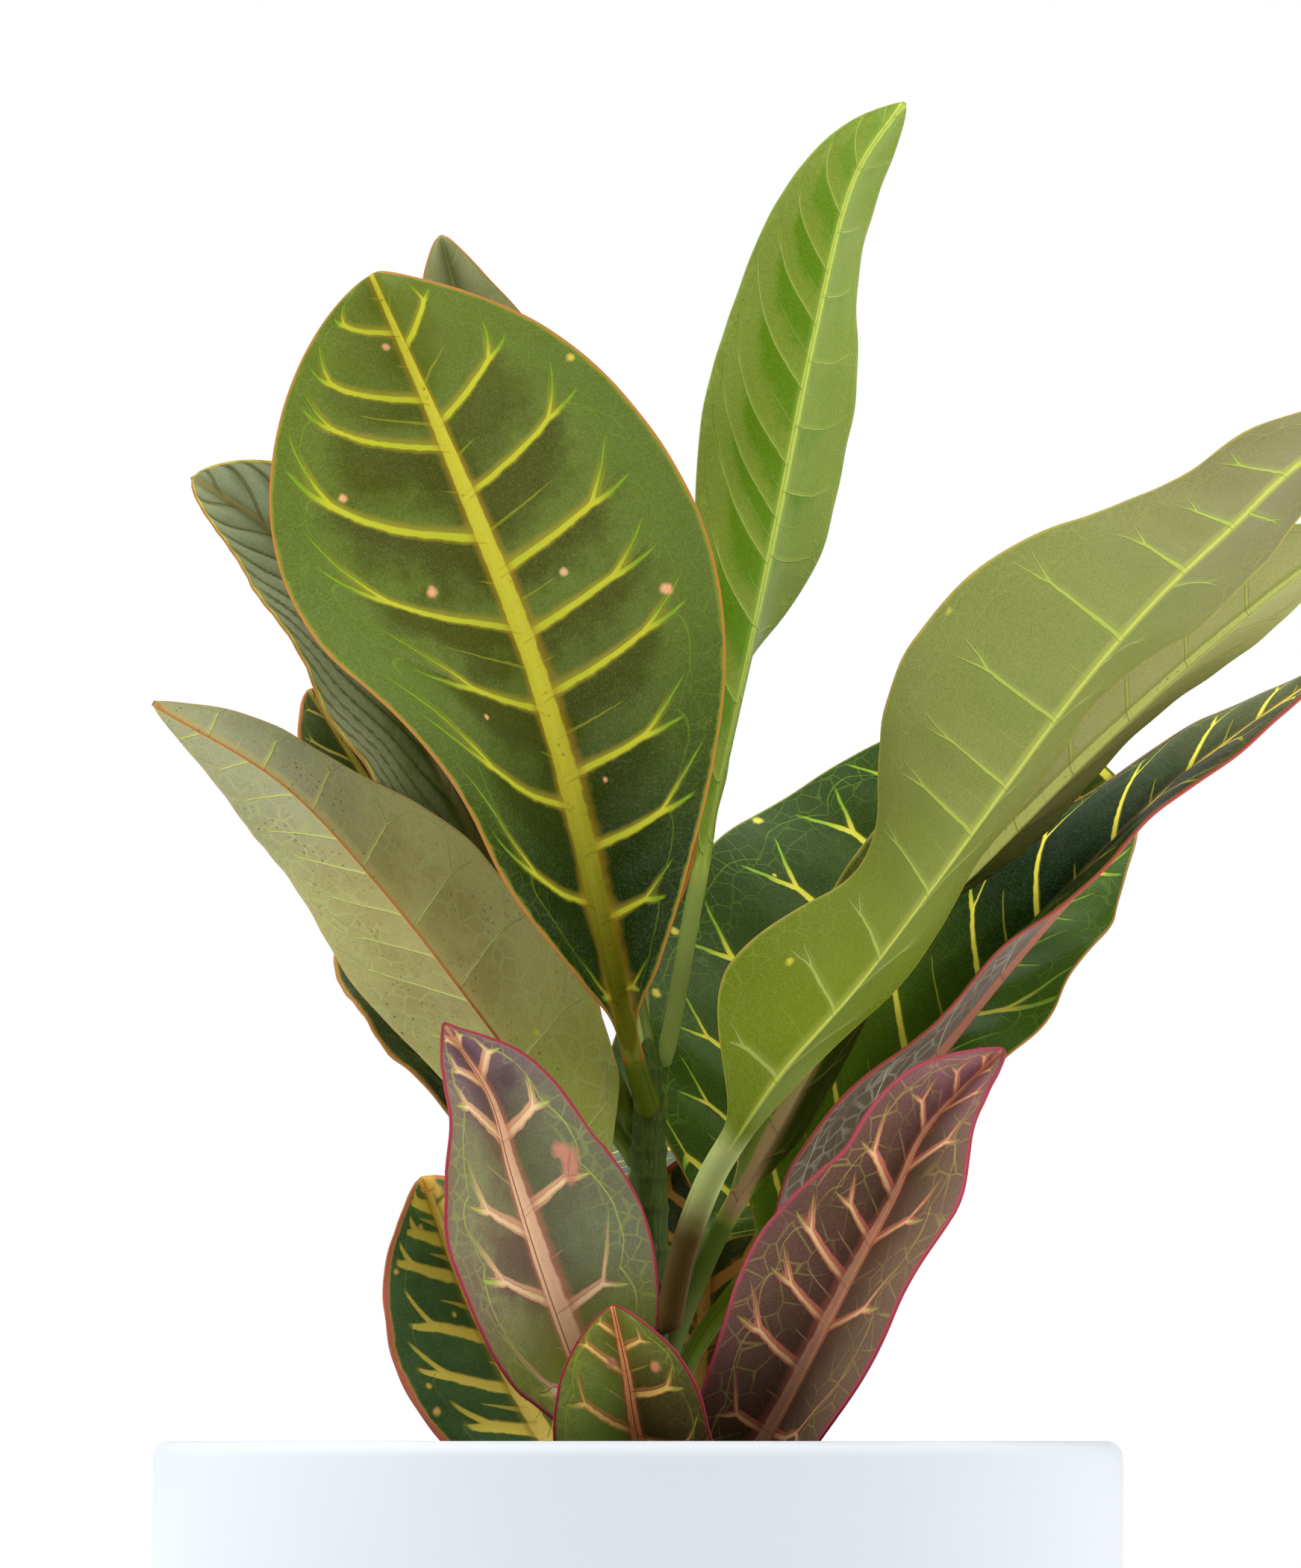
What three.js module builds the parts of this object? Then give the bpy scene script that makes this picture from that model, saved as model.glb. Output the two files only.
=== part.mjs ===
// Potted croton: a young croton with large painted leaves in a plain white glazed pot.
// Millimetres, +Z up. The origin is the middle of the pot's base, and the plant's front is on the -Y side.
import * as THREE from "three";
import { mergeVertices } from "three/addons/utils/BufferGeometryUtils.js";

// Driving dimensions
const potRadius = 70;
const potHeight = 130;
const potWall = 5;
const potFloor = 6;
const lipRound = 2.5;
const footRound = 2;
const floorRound = 4;
const fit = 0.3;
const soilTop = 112;
const stemX = 1.5;
const stemFoot = 82;
const stemTop = 188.4;
const bladeThickness = 0.75;

// Finishes
const glaze = new THREE.MeshStandardMaterial({ color: 0xf2f4f6, roughness: 0.35, metalness: 0 });
const pottingMix = new THREE.MeshStandardMaterial({ color: 0x2b1e16, roughness: 0.95, metalness: 0 });
const bark = new THREE.MeshStandardMaterial({ color: 0x3f4a1f, roughness: 0.6, metalness: 0 });
const leafFinish = {
  yellowVeined: new THREE.MeshStandardMaterial({ color: 0x46621a, roughness: 0.4, metalness: 0 }),
  youngGreen: new THREE.MeshStandardMaterial({ color: 0x7fa02c, roughness: 0.45, metalness: 0 }),
  oliveUnderside: new THREE.MeshStandardMaterial({ color: 0x83854a, roughness: 0.55, metalness: 0 }),
  darkGreen: new THREE.MeshStandardMaterial({ color: 0x16401f, roughness: 0.35, metalness: 0 }),
  maroon: new THREE.MeshStandardMaterial({ color: 0x5a3a36, roughness: 0.4, metalness: 0 }),
};

const plant = new THREE.Group();

function addPiece(name, geometry, material) {
  const mesh = new THREE.Mesh(geometry, material);
  mesh.name = name;
  plant.add(mesh);
  return mesh;
}

// A turned body: its profile runs round the upright axis, from the axis back to the axis
function turned(profile, sides) {
  const geometry = new THREE.LatheGeometry(profile.map(([r, z]) => new THREE.Vector2(r, z)), sides);
  geometry.rotateX(Math.PI / 2);
  geometry.deleteAttribute("normal");
  geometry.deleteAttribute("uv");
  return mergeVertices(geometry, 1e-4);
}

// Points along an arc of a profile
function arc(centreR, centreZ, radius, fromDegrees, toDegrees, steps) {
  const points = [];
  for (let i = 0; i <= steps; i += 1) {
    const angle = THREE.MathUtils.degToRad(fromDegrees + (toDegrees - fromDegrees) * i / steps);
    points.push([centreR + radius * Math.cos(angle), centreZ + radius * Math.sin(angle)]);
  }
  return points;
}

// Pot: one thrown and glazed piece, straight outside, with a rounded lip and a flat base
const potSides = 56;
const potInside = potRadius - potWall;
const potProfile = [
  [0, 0],
  ...arc(potRadius - footRound, footRound, footRound, -90, 0, 3),
  ...arc(potRadius - lipRound, potHeight - lipRound, lipRound, 0, 180, 6),
  ...arc(potInside - floorRound, potFloor + floorRound, floorRound, 0, -90, 3),
  [0, potFloor],
];
addPiece("pot", turned(potProfile, potSides), glaze);

// Stem: one upright shoot, thickest at the soil and drawn in to a bud at its top.
// Its profile lists heights with their radii.
const stemSides = 14;
const stemThickest = 3;
const stemProfile = [
  [stemFoot, 2.3], [104, stemThickest], [118, stemThickest], [140, 2.85],
  [165, 2.75], [178, 2.3], [184, 1.9], [187, 1.5],
];

function stemRadius(height) {
  for (let i = 1; i < stemProfile.length; i += 1) {
    const [lowZ, lowR] = stemProfile[i - 1];
    const [highZ, highR] = stemProfile[i];
    if (height <= highZ) {
      return lowR + (highR - lowR) * Math.max(0, height - lowZ) / (highZ - lowZ);
    }
  }
  return stemProfile[stemProfile.length - 1][1];
}

const stemOutline = [[0, stemFoot], ...stemProfile.map(([z, r]) => [r, z]), [0, stemTop]];
addPiece("stem", turned(stemOutline, stemSides), bark).position.x = stemX;

// Soil: fills the pot, crumbly on top, with a plain round hole that the stem stands in
const soilSides = 40;
const soilRadius = potInside - fit;
const soilHole = stemThickest + fit;
const soilRings = [soilHole, 7, 12, 18, 24, 30, 36, 42, 48, 54, 60, soilRadius];
const moundHeight = 1.2;
const moundSpread = 500;
const levelRadius = 12;
const shiftedRadius = 30;
const tolerance = 0.01;

// Height of the crumbly top at a place: a low mound round the stem, and clumps further out
function soilRelief(x, y) {
  const mound = moundHeight * Math.exp(-(x * x + y * y) / moundSpread);
  const broadClumps = 0.7 * Math.sin(0.31 * x + 1.2) * Math.cos(0.27 * y - 0.4);
  const fineClumps = 0.5 * Math.sin(0.62 * y + 0.4 * x);
  return mound + (broadClumps + fineClumps) * Math.min(1, Math.hypot(x, y) / levelRadius);
}

const soilProfile = [
  [0, stemFoot - fit],
  [soilHole, stemFoot - fit],
  ...soilRings.map((r) => [r, soilTop]),
  [soilRadius, potFloor + fit + floorRound],
  [soilRadius - floorRound, potFloor + fit],
  [0, potFloor + fit],
].reverse();
const soilGeometry = turned(soilProfile, soilSides);
const soilPoints = soilGeometry.attributes.position;
for (let i = 0; i < soilPoints.count; i += 1) {
  const x = soilPoints.getX(i);
  const y = soilPoints.getY(i);
  if (Math.abs(soilPoints.getZ(i) - soilTop) < tolerance) {
    soilPoints.setZ(i, soilTop + soilRelief(x, y));
  }
  // The hole stands under the stem, a little to one side of the pot's middle
  const pull = Math.max(0, 1 - Math.hypot(x, y) / shiftedRadius);
  soilPoints.setX(i, x + stemX * (Math.hypot(x, y) <= soilHole + tolerance ? 1 : pull));
}
addPiece("soil", soilGeometry, pottingMix);

// Leaves: each grew in one piece, as a round stalk that runs on as the midrib of a thin blade.
// path     points of the stalk and midrib, from the stem to the leaf's tip
// base     which of those points is the base of the blade
// face     the way the upper side looks
// half     greatest width of half the blade
// swell    how the blade widens at its base and narrows to its tip
// left     how far the left half folds up, in degrees, at five places evenly spaced from base to tip
// right    the same for the right half
// camber   how much each half bulges between midrib and margin, as a share of its width
// wave     height, number and phase of the waves along the margin
// stalk    radius of the stalk
const leaves = [
  {
    name: "leaf_big_front_left", finish: "yellowVeined", base: 1, face: [-0.1, -1, 0.1],
    path: [[1.4, -3, 178], [-0.5, -7, 184.5], [-4.5, -13, 200], [-10.5, -20, 224.5], [-17.5, -25, 247],
      [-27, -28, 271], [-38, -25, 296.5]],
    half: 30.5, swell: [1.15, 0.7], left: [65, 59, 50, 10, 15], right: [47, 23, 6, 25, 70],
    camber: 0.05, wave: [1.0, 3, 0.4], stalk: 1.6,
  },
  {
    name: "leaf_young_top", finish: "youngGreen", base: 3, face: [0.15, 1, 0.1],
    path: [[3.7, 0.8, 185], [5, 1, 190.5], [6, 1.5, 196], [8.5, 2, 210], [11, 4, 220], [15.5, 8, 240],
      [20.5, 11, 264.5], [26, 11, 292], [31.5, 8, 314], [39, 2, 325.5]],
    half: 14.5, swell: [1.1, 0.8], left: [95, 104, 64, 75, 70], right: [49, 34, 14, 8, 23],
    camber: 0.06, wave: [0.8, 4, 1.0], stalk: 1.3,
  },
  {
    name: "leaf_young_rear_left", finish: "oliveUnderside", base: 1, face: [-0.1, -1, 0.1],
    path: [[0.7, 3, 182.5], [-1.5, 9, 193.5], [-6, 13, 215], [-12.5, 15, 240.5], [-19.5, 14, 266],
      [-24.5, 11, 289], [-29, 7, 306.5]],
    half: 19, swell: [0.79, 0.64], left: [15, 22, 34, 50, 60], right: [29, 24, 21, 25, 55],
    camber: 0.05, wave: [0.6, 3, 0.2], stalk: 1.3,
  },
  {
    name: "leaf_left_high", finish: "darkGreen", base: 1, face: [-0.2, -1, 0.4],
    path: [[-0.7, 1.2, 175.5], [-6, 2, 187], [-22, 0, 214], [-33, -4, 234.5], [-41.5, -8, 248.5],
      [-52, -12, 260], [-64, -18, 268]],
    half: 18, swell: [0.64, 0.62], left: [31, 45, 57, 45, 24], right: [29, 34, 38, 40, 26],
    camber: 0.06, wave: [0.7, 4, 2.0], stalk: 1.4,
  },
  {
    name: "leaf_left_dark_tip", finish: "darkGreen", base: 1, face: [-0.1, -1, 0.3],
    path: [[0, 3, 170.5], [-12.5, 9, 187.5], [-23.5, 11, 203], [-36.5, 12, 221.5], [-48.5, 12, 240]],
    half: 18.5, swell: [0.72, 0.69], left: [33, 35, 40, 48, 54], right: [35, 35, 35, 35, 35],
    camber: 0.05, wave: [0.5, 3, 1.5], stalk: 1.4,
  },
  {
    name: "leaf_left_underside", finish: "oliveUnderside", base: 1, face: [0.3, 1, 0.4],
    path: [[-0.8, -2.9, 161.5], [-3.5, -6.5, 165.5], [-12, -12, 177.5], [-24, -19.5, 193.5],
      [-36, -26.5, 208.5], [-50, -33, 223], [-68.5, -36, 234]],
    half: 18.8, swell: [0.53, 0.85], left: [66, 63, 68, 82, 70], right: [34, 27, 26, 24, 20],
    camber: 0.05, wave: [0.8, 3, 0.9], stalk: 1.5,
  },
  {
    name: "leaf_left_behind", finish: "darkGreen", base: 1, face: [-0.1, -1, 0.4],
    path: [[-0.9, 2, 157], [-10.5, 12, 169], [-19, 18, 177], [-28, 22, 186], [-37, 24, 196],
      [-43.5, 24, 205]],
    half: 16.5, swell: [0.75, 0.6], left: [39, 54, 60, 60, 52], right: [35, 35, 35, 35, 35],
    camber: 0.05, wave: [0.5, 3, 0.1], stalk: 1.4,
  },
  {
    name: "leaf_low_front_left", finish: "maroon", base: 1, face: [0, -1, 0],
    path: [[-0.8, -2, 123], [-6, -20, 133], [-10, -27, 143.5], [-14, -31, 155], [-18, -33, 168],
      [-21, -33, 178.5], [-27.5, -30, 189]],
    half: 17.2, swell: [0.72, 0.9], left: [62, 53, 49, 57, 60], right: [24, 19, 20, 35, 65],
    camber: 0.07, wave: [0.4, 3, 0.7], stalk: 1.3,
  },
  {
    name: "leaf_low_back_left", finish: "darkGreen", base: 1, face: [0, -1, 0],
    path: [[-0.7, 2.1, 119], [-9.5, 16, 125.5], [-17, 23, 136.5], [-25, 27, 151], [-32, 26, 169]],
    half: 18, swell: [0.63, 0.63], left: [22, 27, 41, 44, 60], right: [35, 35, 35, 35, 35],
    camber: 0.06, wave: [0.5, 3, 1.9], stalk: 1.3,
  },
  {
    name: "leaf_small_front", finish: "maroon", base: 1, face: [0, -1, 0],
    path: [[1.5, -3, 117.5], [1.5, -20, 119.5], [1, -32, 126], [-0.5, -38, 133], [-1.5, -41, 139.5],
      [-3.5, -42, 149]],
    half: 14.3, swell: [0.71, 0.69], left: [36, 36, 35, 30, 36], right: [35, 39, 44, 43, 56],
    camber: 0.07, wave: [0.3, 2, 0.5], stalk: 1.1,
  },
  {
    name: "leaf_low_right", finish: "maroon", base: 1, face: [0.1, -1, 0.3],
    path: [[4.3, -1.4, 121.5], [14, -14, 122], [19, -22, 130.5], [25, -28, 142], [30.5, -31, 153],
      [36, -32, 163.5], [41, -31, 174], [52, -27, 185.5]],
    half: 19, swell: [0.7, 0.79], left: [37, 45, 44, 58, 68], right: [51, 66, 65, 60, 66],
    camber: 0.06, wave: [0.5, 3, 2.2], stalk: 1.3,
  },
  {
    name: "leaf_big_right", finish: "oliveUnderside", base: 3, face: [0.1, 1, 0.5],
    path: [[4.4, -2.2, 147.5], [6.5, -7, 157], [9.5, -11, 165.5], [13, -15, 172], [21, -21, 183],
      [31.5, -28, 195], [41.5, -34, 208], [52, -39, 222], [62.5, -43, 236], [73, -46, 248],
      [83.5, -47, 258], [93, -46, 267], [108.5, -42, 278]],
    half: 30, swell: [0.59, 0.66], left: [64, 70, 74, 59, 47], right: [8, 77, 49, 74, 86],
    camber: 0.05, wave: [0.8, 4, 0.2], stalk: 2,
  },
  {
    name: "leaf_right_behind", finish: "oliveUnderside", base: 2, face: [0.1, 1, 0.5],
    path: [[4, 2, 141], [7.5, 4, 150.5], [12.5, 4, 161.5], [19.5, 4, 173.5], [27.5, 3, 187.5],
      [37.5, 1, 201.5], [50.5, -2, 214], [64.5, -5, 228], [78.5, -8, 241], [91, -10, 251.5],
      [102, -11, 260]],
    half: 19, swell: [0.84, 0.54], left: [40, 70, 70, 66, 55], right: [50, 50, 50, 50, 50],
    camber: 0.05, wave: [0.8, 3, 1.2], stalk: 1.5,
  },
  {
    name: "leaf_long_right", finish: "darkGreen", base: 2, face: [-0.7, -0.4, 0.7],
    path: [[4, 1.6, 133], [8, 6, 143], [16, 9, 154], [25.5, 12, 167], [35.5, 14, 178], [44.5, 15, 188],
      [53.5, 15, 199], [64, 14, 211], [77, 12, 224.5], [87, 10, 232.5], [97, 8, 239.5],
      [103, 7, 243.5]],
    half: 20.8, swell: [0.66, 0.66], left: [58, 48, 27, 0, -5], right: [57, 38, 25, 16, 16],
    camber: 0.05, wave: [0.7, 4, 0.6], stalk: 1.5,
  },
  {
    name: "leaf_broad_back_right", finish: "darkGreen", base: 1, face: [-0.2, -1, 0.6],
    path: [[2.5, 3, 156], [10, 16, 159], [18.5, 28, 169.5], [28.5, 40, 186], [43, 47, 202],
      [58, 50, 217.5], [72.5, 50, 230]],
    half: 35.5, swell: [0.64, 0.49], left: [35, 41, 24, 7, 21], right: [5, 20, 29, 30, 24],
    camber: 0.06, wave: [0.9, 4, 1.4], stalk: 1.6,
  },
  {
    name: "leaf_low_back", finish: "darkGreen", base: 1, face: [0, -1, 0],
    path: [[3.6, 2.2, 119], [6, 22, 126], [9, 32, 141], [10, 37, 157], [10, 37.5, 173]],
    half: 16.5, swell: [0.7, 0.55], left: [35, 35, 35, 35, 35], right: [35, 35, 35, 35, 35],
    camber: 0.06, wave: [0.5, 3, 0.3], stalk: 1.3,
  },
  {
    name: "leaf_rear_tall", finish: "yellowVeined", base: 1, face: [0, -1, 0.5],
    path: [[2.8, 2.4, 178.5], [-1, 21, 198], [-5.5, 38, 226], [-10, 47, 254], [-15, 50, 283]],
    half: 21, swell: [0.75, 0.55], left: [25, 25, 25, 25, 25], right: [25, 25, 25, 25, 25],
    camber: 0.06, wave: [1, 3, 0.8], stalk: 1.5,
  },
  {
    name: "leaf_rear_right", finish: "darkGreen", base: 1, face: [-0.4, -1, 1],
    path: [[1.9, 3.1, 151], [0.5, 34, 172], [13, 58, 188], [27, 76, 197], [38, 88, 207]],
    half: 18, swell: [0.75, 0.55], left: [25, 25, 25, 25, 25], right: [25, 25, 25, 25, 25],
    camber: 0.06, wave: [1, 3, 1.8], stalk: 1.5,
  },
  {
    name: "leaf_rear_middle", finish: "darkGreen", base: 1, face: [0, -0.6, 1],
    path: [[-0.3, 3.2, 145.5], [-6, 32, 166], [-7, 60, 172], [-9, 84, 177], [-12, 101, 178]],
    half: 20, swell: [0.75, 0.55], left: [20, 20, 20, 20, 20], right: [0, 0, 5, 10, 10],
    camber: 0.06, wave: [0.9, 3, 2.8], stalk: 1.5,
  },
  {
    name: "leaf_rear_left", finish: "yellowVeined", base: 1, face: [0.3, -1, 1],
    path: [[-0.4, 3, 164.5], [-9.5, 30, 176], [-21, 50, 190], [-32, 64, 206], [-43, 74, 222]],
    half: 19, swell: [0.75, 0.55], left: [25, 25, 25, 25, 25], right: [25, 25, 25, 25, 25],
    camber: 0.06, wave: [0.8, 3, 0.5], stalk: 1.4,
  },
  {
    name: "leaf_rear_low", finish: "maroon", base: 1, face: [0.2, -1, 0.8],
    path: [[0.3, 3, 127], [-6, 30, 137], [-12, 50, 147], [-17, 64, 158], [-20, 74, 168]],
    half: 16, swell: [0.75, 0.55], left: [25, 25, 25, 25, 25], right: [25, 25, 25, 25, 25],
    camber: 0.06, wave: [0.6, 3, 1.1], stalk: 1.4,
  },
];

// How a leaf is divided: stations along it, and columns across each half of the blade
const bladeStations = 14;
const stalkStations = 4;
const crowding = 0.08;
const sampling = 20;
const middleColumn = 0.55;
const stalkAngle = 25;

// The blade's least half width, and the midrib's half width at the tip and its greatest share of the blade
const tipHalf = 0.5;
const ribTip = 0.5;
const ribShare = 0.3;

// How far the midrib stands out below the blade, at its base and at its tip
const ridgeBase = 1.2;
const ridgeTip = 0.25;
const foldLimit = 0.35;

// The round stalk turns into the blade over this share of the blade's length
const joinShare = 0.12;

// The foot of the stalk: how squarely it meets the stem, how far it widens, and its gap to the stem
const footSquare = 1.5;
const footFlare = 1.25;
const footGap = 0.45;

// A smooth run through values that are evenly spaced along a blade, at share t of its length
function along(values, t) {
  const last = values.length - 1;
  const i = Math.min(Math.floor(t * last), last - 1);
  const before = i > 0 ? values[i - 1] : 2 * values[0] - values[1];
  const after = i < last - 1 ? values[i + 2] : 2 * values[last] - values[last - 1];
  const leave = (values[i + 1] - before) / 2;
  const arrive = (after - values[i]) / 2;
  const x = t * last - i;
  const rise = x * x * (3 - 2 * x);
  const step = (values[i + 1] - values[i]) * rise;
  return values[i] + step + leave * x * (1 - x) ** 2 - arrive * x * x * (1 - x);
}

function mix(from, to, t) {
  return from + (to - from) * t;
}

function smooth(t) {
  const x = THREE.MathUtils.clamp(t, 0, 1);
  return x * x * (3 - 2 * x);
}

function halfWidth(leaf, t) {
  const [widen, narrow] = leaf.swell;
  const widest = widen / (widen + narrow);
  const shape = t ** widen * (1 - t) ** narrow / (widest ** widen * (1 - widest) ** narrow);
  return Math.max(leaf.half * shape, tipHalf);
}

// One section across the blade, as matching rows of points on its upper and its lower side
function bladeSection(leaf, t, at, side, up) {
  const half = halfWidth(leaf, t);
  const rib = Math.min(mix(leaf.stalk, ribTip, t) / half, ribShare);
  const [waveHeight, waveCount, wavePhase] = leaf.wave;
  const upper = [];
  const lower = [];
  for (const across of [-1, -middleColumn, -rib, 0, rib, middleColumn, 1]) {
    const hand = across < 0 ? -1 : 1;
    const out = Math.abs(across);
    const fold = THREE.MathUtils.degToRad(along(hand < 0 ? leaf.left : leaf.right, t));
    const away = side.clone().multiplyScalar(hand * Math.cos(fold)).addScaledVector(up, Math.sin(fold));
    const normal = side.clone().multiplyScalar(-hand * Math.sin(fold)).addScaledVector(up, Math.cos(fold));
    const turns = 2 * Math.PI * waveCount * t;
    const ripple = Math.sin(turns + wavePhase + hand) * Math.sqrt(Math.sin(Math.PI * t));
    const lift = 4 * leaf.camber * half * out * (1 - out) + waveHeight * out * out * ripple;
    const point = at.clone().addScaledVector(away, out * half).addScaledVector(normal, lift);
    upper.push(point);
    if (out === 0) {
      const meanFold = THREE.MathUtils.degToRad((along(leaf.left, t) + along(leaf.right, t)) / 2);
      const ridge = bladeThickness / Math.max(Math.cos(meanFold), foldLimit) + mix(ridgeBase, ridgeTip, t);
      lower.push(at.clone().addScaledVector(up, -ridge));
    } else {
      lower.push(point.clone().addScaledVector(normal, -bladeThickness));
    }
  }
  return { upper, lower };
}

// One section of the round stalk, with as many points as a section of the blade
function stalkSection(radius, at, side, up) {
  const upper = [];
  const lower = [];
  for (let i = -3; i <= 3; i += 1) {
    const angle = THREE.MathUtils.degToRad(90 - stalkAngle * i);
    const across = side.clone().multiplyScalar(radius * Math.cos(angle));
    upper.push(at.clone().add(across).addScaledVector(up, radius * Math.sin(angle)));
    lower.push(at.clone().add(across).addScaledVector(up, -radius * Math.sin(angle)));
  }
  return { upper, lower };
}

// The foot of a stalk is hollowed to the stem's round, and the stalk stands just clear of the stem
function seatOnStem(sections) {
  sections.forEach((section, i) => {
    for (const point of [...section.upper, ...section.lower]) {
      const fromStem = new THREE.Vector2(point.x - stemX, point.y);
      const clear = stemRadius(point.z) + footGap;
      if (i === 0 || fromStem.length() < clear) {
        fromStem.setLength(clear);
        point.x = stemX + fromStem.x;
        point.y = fromStem.y;
      }
    }
  });
}

function leafSections(leaf) {
  const places = leaf.path.map((place) => new THREE.Vector3(...place));
  const curve = new THREE.CatmullRomCurve3(places, false, "catmullrom", 0.5);
  curve.arcLengthDivisions = (leaf.path.length - 1) * sampling;
  const lengths = curve.getLengths();
  const stalkEnd = lengths[leaf.base * sampling] / lengths[lengths.length - 1];
  const face = new THREE.Vector3(...leaf.face);
  const sections = [];
  for (let i = -stalkStations; i <= bladeStations; i += 1) {
    const share = Math.max(0, i) / bladeStations;
    const t = share - crowding * Math.sin(2 * Math.PI * share);
    const travelled = i < 0 ? stalkEnd * (1 + i / stalkStations) : mix(stalkEnd, 1, t);
    const at = curve.getPointAt(travelled);
    const forward = curve.getTangentAt(travelled);
    if (i === -stalkStations) {
      const outward = new THREE.Vector3(at.x - stemX, at.y, 0).normalize();
      forward.addScaledVector(outward, footSquare).normalize();
    }
    const up = face.clone().addScaledVector(forward, -face.dot(forward)).normalize();
    const side = new THREE.Vector3().crossVectors(forward, up);
    const flare = i === -stalkStations ? footFlare : 1;
    const stalk = stalkSection(leaf.stalk * flare, at, side, up);
    const blade = bladeSection(leaf, t, at, side, up);
    const opened = i < 0 ? 0 : smooth(t / joinShare);
    for (const row of ["upper", "lower"]) {
      stalk[row].forEach((point, k) => point.lerp(blade[row][k], opened));
    }
    sections.push(stalk);
  }
  seatOnStem(sections.slice(0, stalkStations));
  return sections;
}

// Joins the sections into one closed body, whose upper and lower sides are split into triangles alike
function loft(sections) {
  const rows = sections[0].upper.length;
  const positions = [];
  for (const { upper, lower } of sections) {
    [...upper, ...lower].forEach((p) => positions.push(p.x, p.y, p.z));
  }
  const upperAt = (i, j) => 2 * rows * i + j;
  const lowerAt = (i, j) => 2 * rows * i + rows + j;
  const faces = [];
  const last = sections.length - 1;
  for (let i = 0; i < last; i += 1) {
    for (let j = 0; j < rows - 1; j += 1) {
      const corners = [[i, j], [i, j + 1], [i + 1, j + 1], [i + 1, j]];
      const order = j < (rows - 1) / 2 ? [[1, 2, 3], [1, 3, 0]] : [[0, 1, 2], [0, 2, 3]];
      for (const [a, b, c] of order) {
        faces.push(upperAt(...corners[a]), upperAt(...corners[b]), upperAt(...corners[c]));
        faces.push(lowerAt(...corners[a]), lowerAt(...corners[c]), lowerAt(...corners[b]));
      }
    }
    faces.push(upperAt(i, 0), upperAt(i + 1, 0), lowerAt(i + 1, 0));
    faces.push(upperAt(i, 0), lowerAt(i + 1, 0), lowerAt(i, 0));
    faces.push(upperAt(i, rows - 1), lowerAt(i + 1, rows - 1), upperAt(i + 1, rows - 1));
    faces.push(upperAt(i, rows - 1), lowerAt(i, rows - 1), lowerAt(i + 1, rows - 1));
  }
  for (let j = 0; j < rows - 1; j += 1) {
    faces.push(upperAt(0, j), lowerAt(0, j), lowerAt(0, j + 1));
    faces.push(upperAt(0, j), lowerAt(0, j + 1), upperAt(0, j + 1));
    faces.push(upperAt(last, j), lowerAt(last, j + 1), lowerAt(last, j));
    faces.push(upperAt(last, j), upperAt(last, j + 1), lowerAt(last, j + 1));
  }
  const geometry = new THREE.BufferGeometry();
  geometry.setAttribute("position", new THREE.Float32BufferAttribute(positions, 3));
  geometry.setIndex(faces);
  return geometry;
}

for (const leaf of leaves) {
  addPiece(leaf.name, loft(leafSections(leaf)), leafFinish[leaf.finish]);
}

export default plant;
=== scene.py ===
import math
import random

import bpy
import numpy as np
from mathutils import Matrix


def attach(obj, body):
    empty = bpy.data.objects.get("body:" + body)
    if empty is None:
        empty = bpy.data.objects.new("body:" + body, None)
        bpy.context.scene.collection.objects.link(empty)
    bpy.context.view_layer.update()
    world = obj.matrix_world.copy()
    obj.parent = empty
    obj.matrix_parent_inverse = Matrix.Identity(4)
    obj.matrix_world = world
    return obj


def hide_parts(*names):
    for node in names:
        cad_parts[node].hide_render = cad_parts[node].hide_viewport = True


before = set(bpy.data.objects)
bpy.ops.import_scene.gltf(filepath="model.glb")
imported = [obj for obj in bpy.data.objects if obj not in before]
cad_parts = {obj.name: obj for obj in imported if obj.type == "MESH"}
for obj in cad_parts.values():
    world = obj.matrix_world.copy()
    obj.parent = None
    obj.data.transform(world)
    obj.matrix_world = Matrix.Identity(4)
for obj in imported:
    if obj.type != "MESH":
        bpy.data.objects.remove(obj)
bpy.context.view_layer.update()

MM = 0.001

# The view
# The photograph looks at the plant from in front, a little upward, from the height of the pot's lip.
focal_length = 198.07
film_width = 36
camera_height = 130
camera_distance = 1250
aim_height = 225.2
plant_middle = 1.8
camera_data = bpy.data.cameras.new("view")
camera_data.lens = focal_length
camera_data.sensor_width = film_width
camera = bpy.data.objects.new("view", camera_data)
camera.location = (plant_middle * MM, -camera_distance * MM, camera_height * MM)
camera.rotation_euler = (math.pi / 2 + math.atan2(aim_height - camera_height, camera_distance), 0, 0)
bpy.context.scene.collection.objects.link(camera)
bpy.context.scene.camera = camera
bpy.context.scene.view_settings.view_transform = "Standard"


# The studio
# A white room with soft light from both sides and above, dimmer in front and behind, and a plain pale floor.
def join(tree, value, socket):
    """Sets a shader socket to a number or colour, or joins it to another node's output."""
    if isinstance(value, Wire):
        value = value.socket
    if isinstance(value, bpy.types.NodeSocket):
        tree.links.new(value, socket)
    else:
        socket.default_value = value


def add(tree, kind, inputs=None, output=0, **settings):
    """Adds a shader node and gives back one of its outputs, ready for arithmetic."""
    node = tree.nodes.new(kind)
    for name, value in settings.items():
        setattr(node, name, value)
    for name, value in (inputs or {}).items():
        join(tree, value, node.inputs[name])
    return Wire(tree, node.outputs[output])


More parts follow.
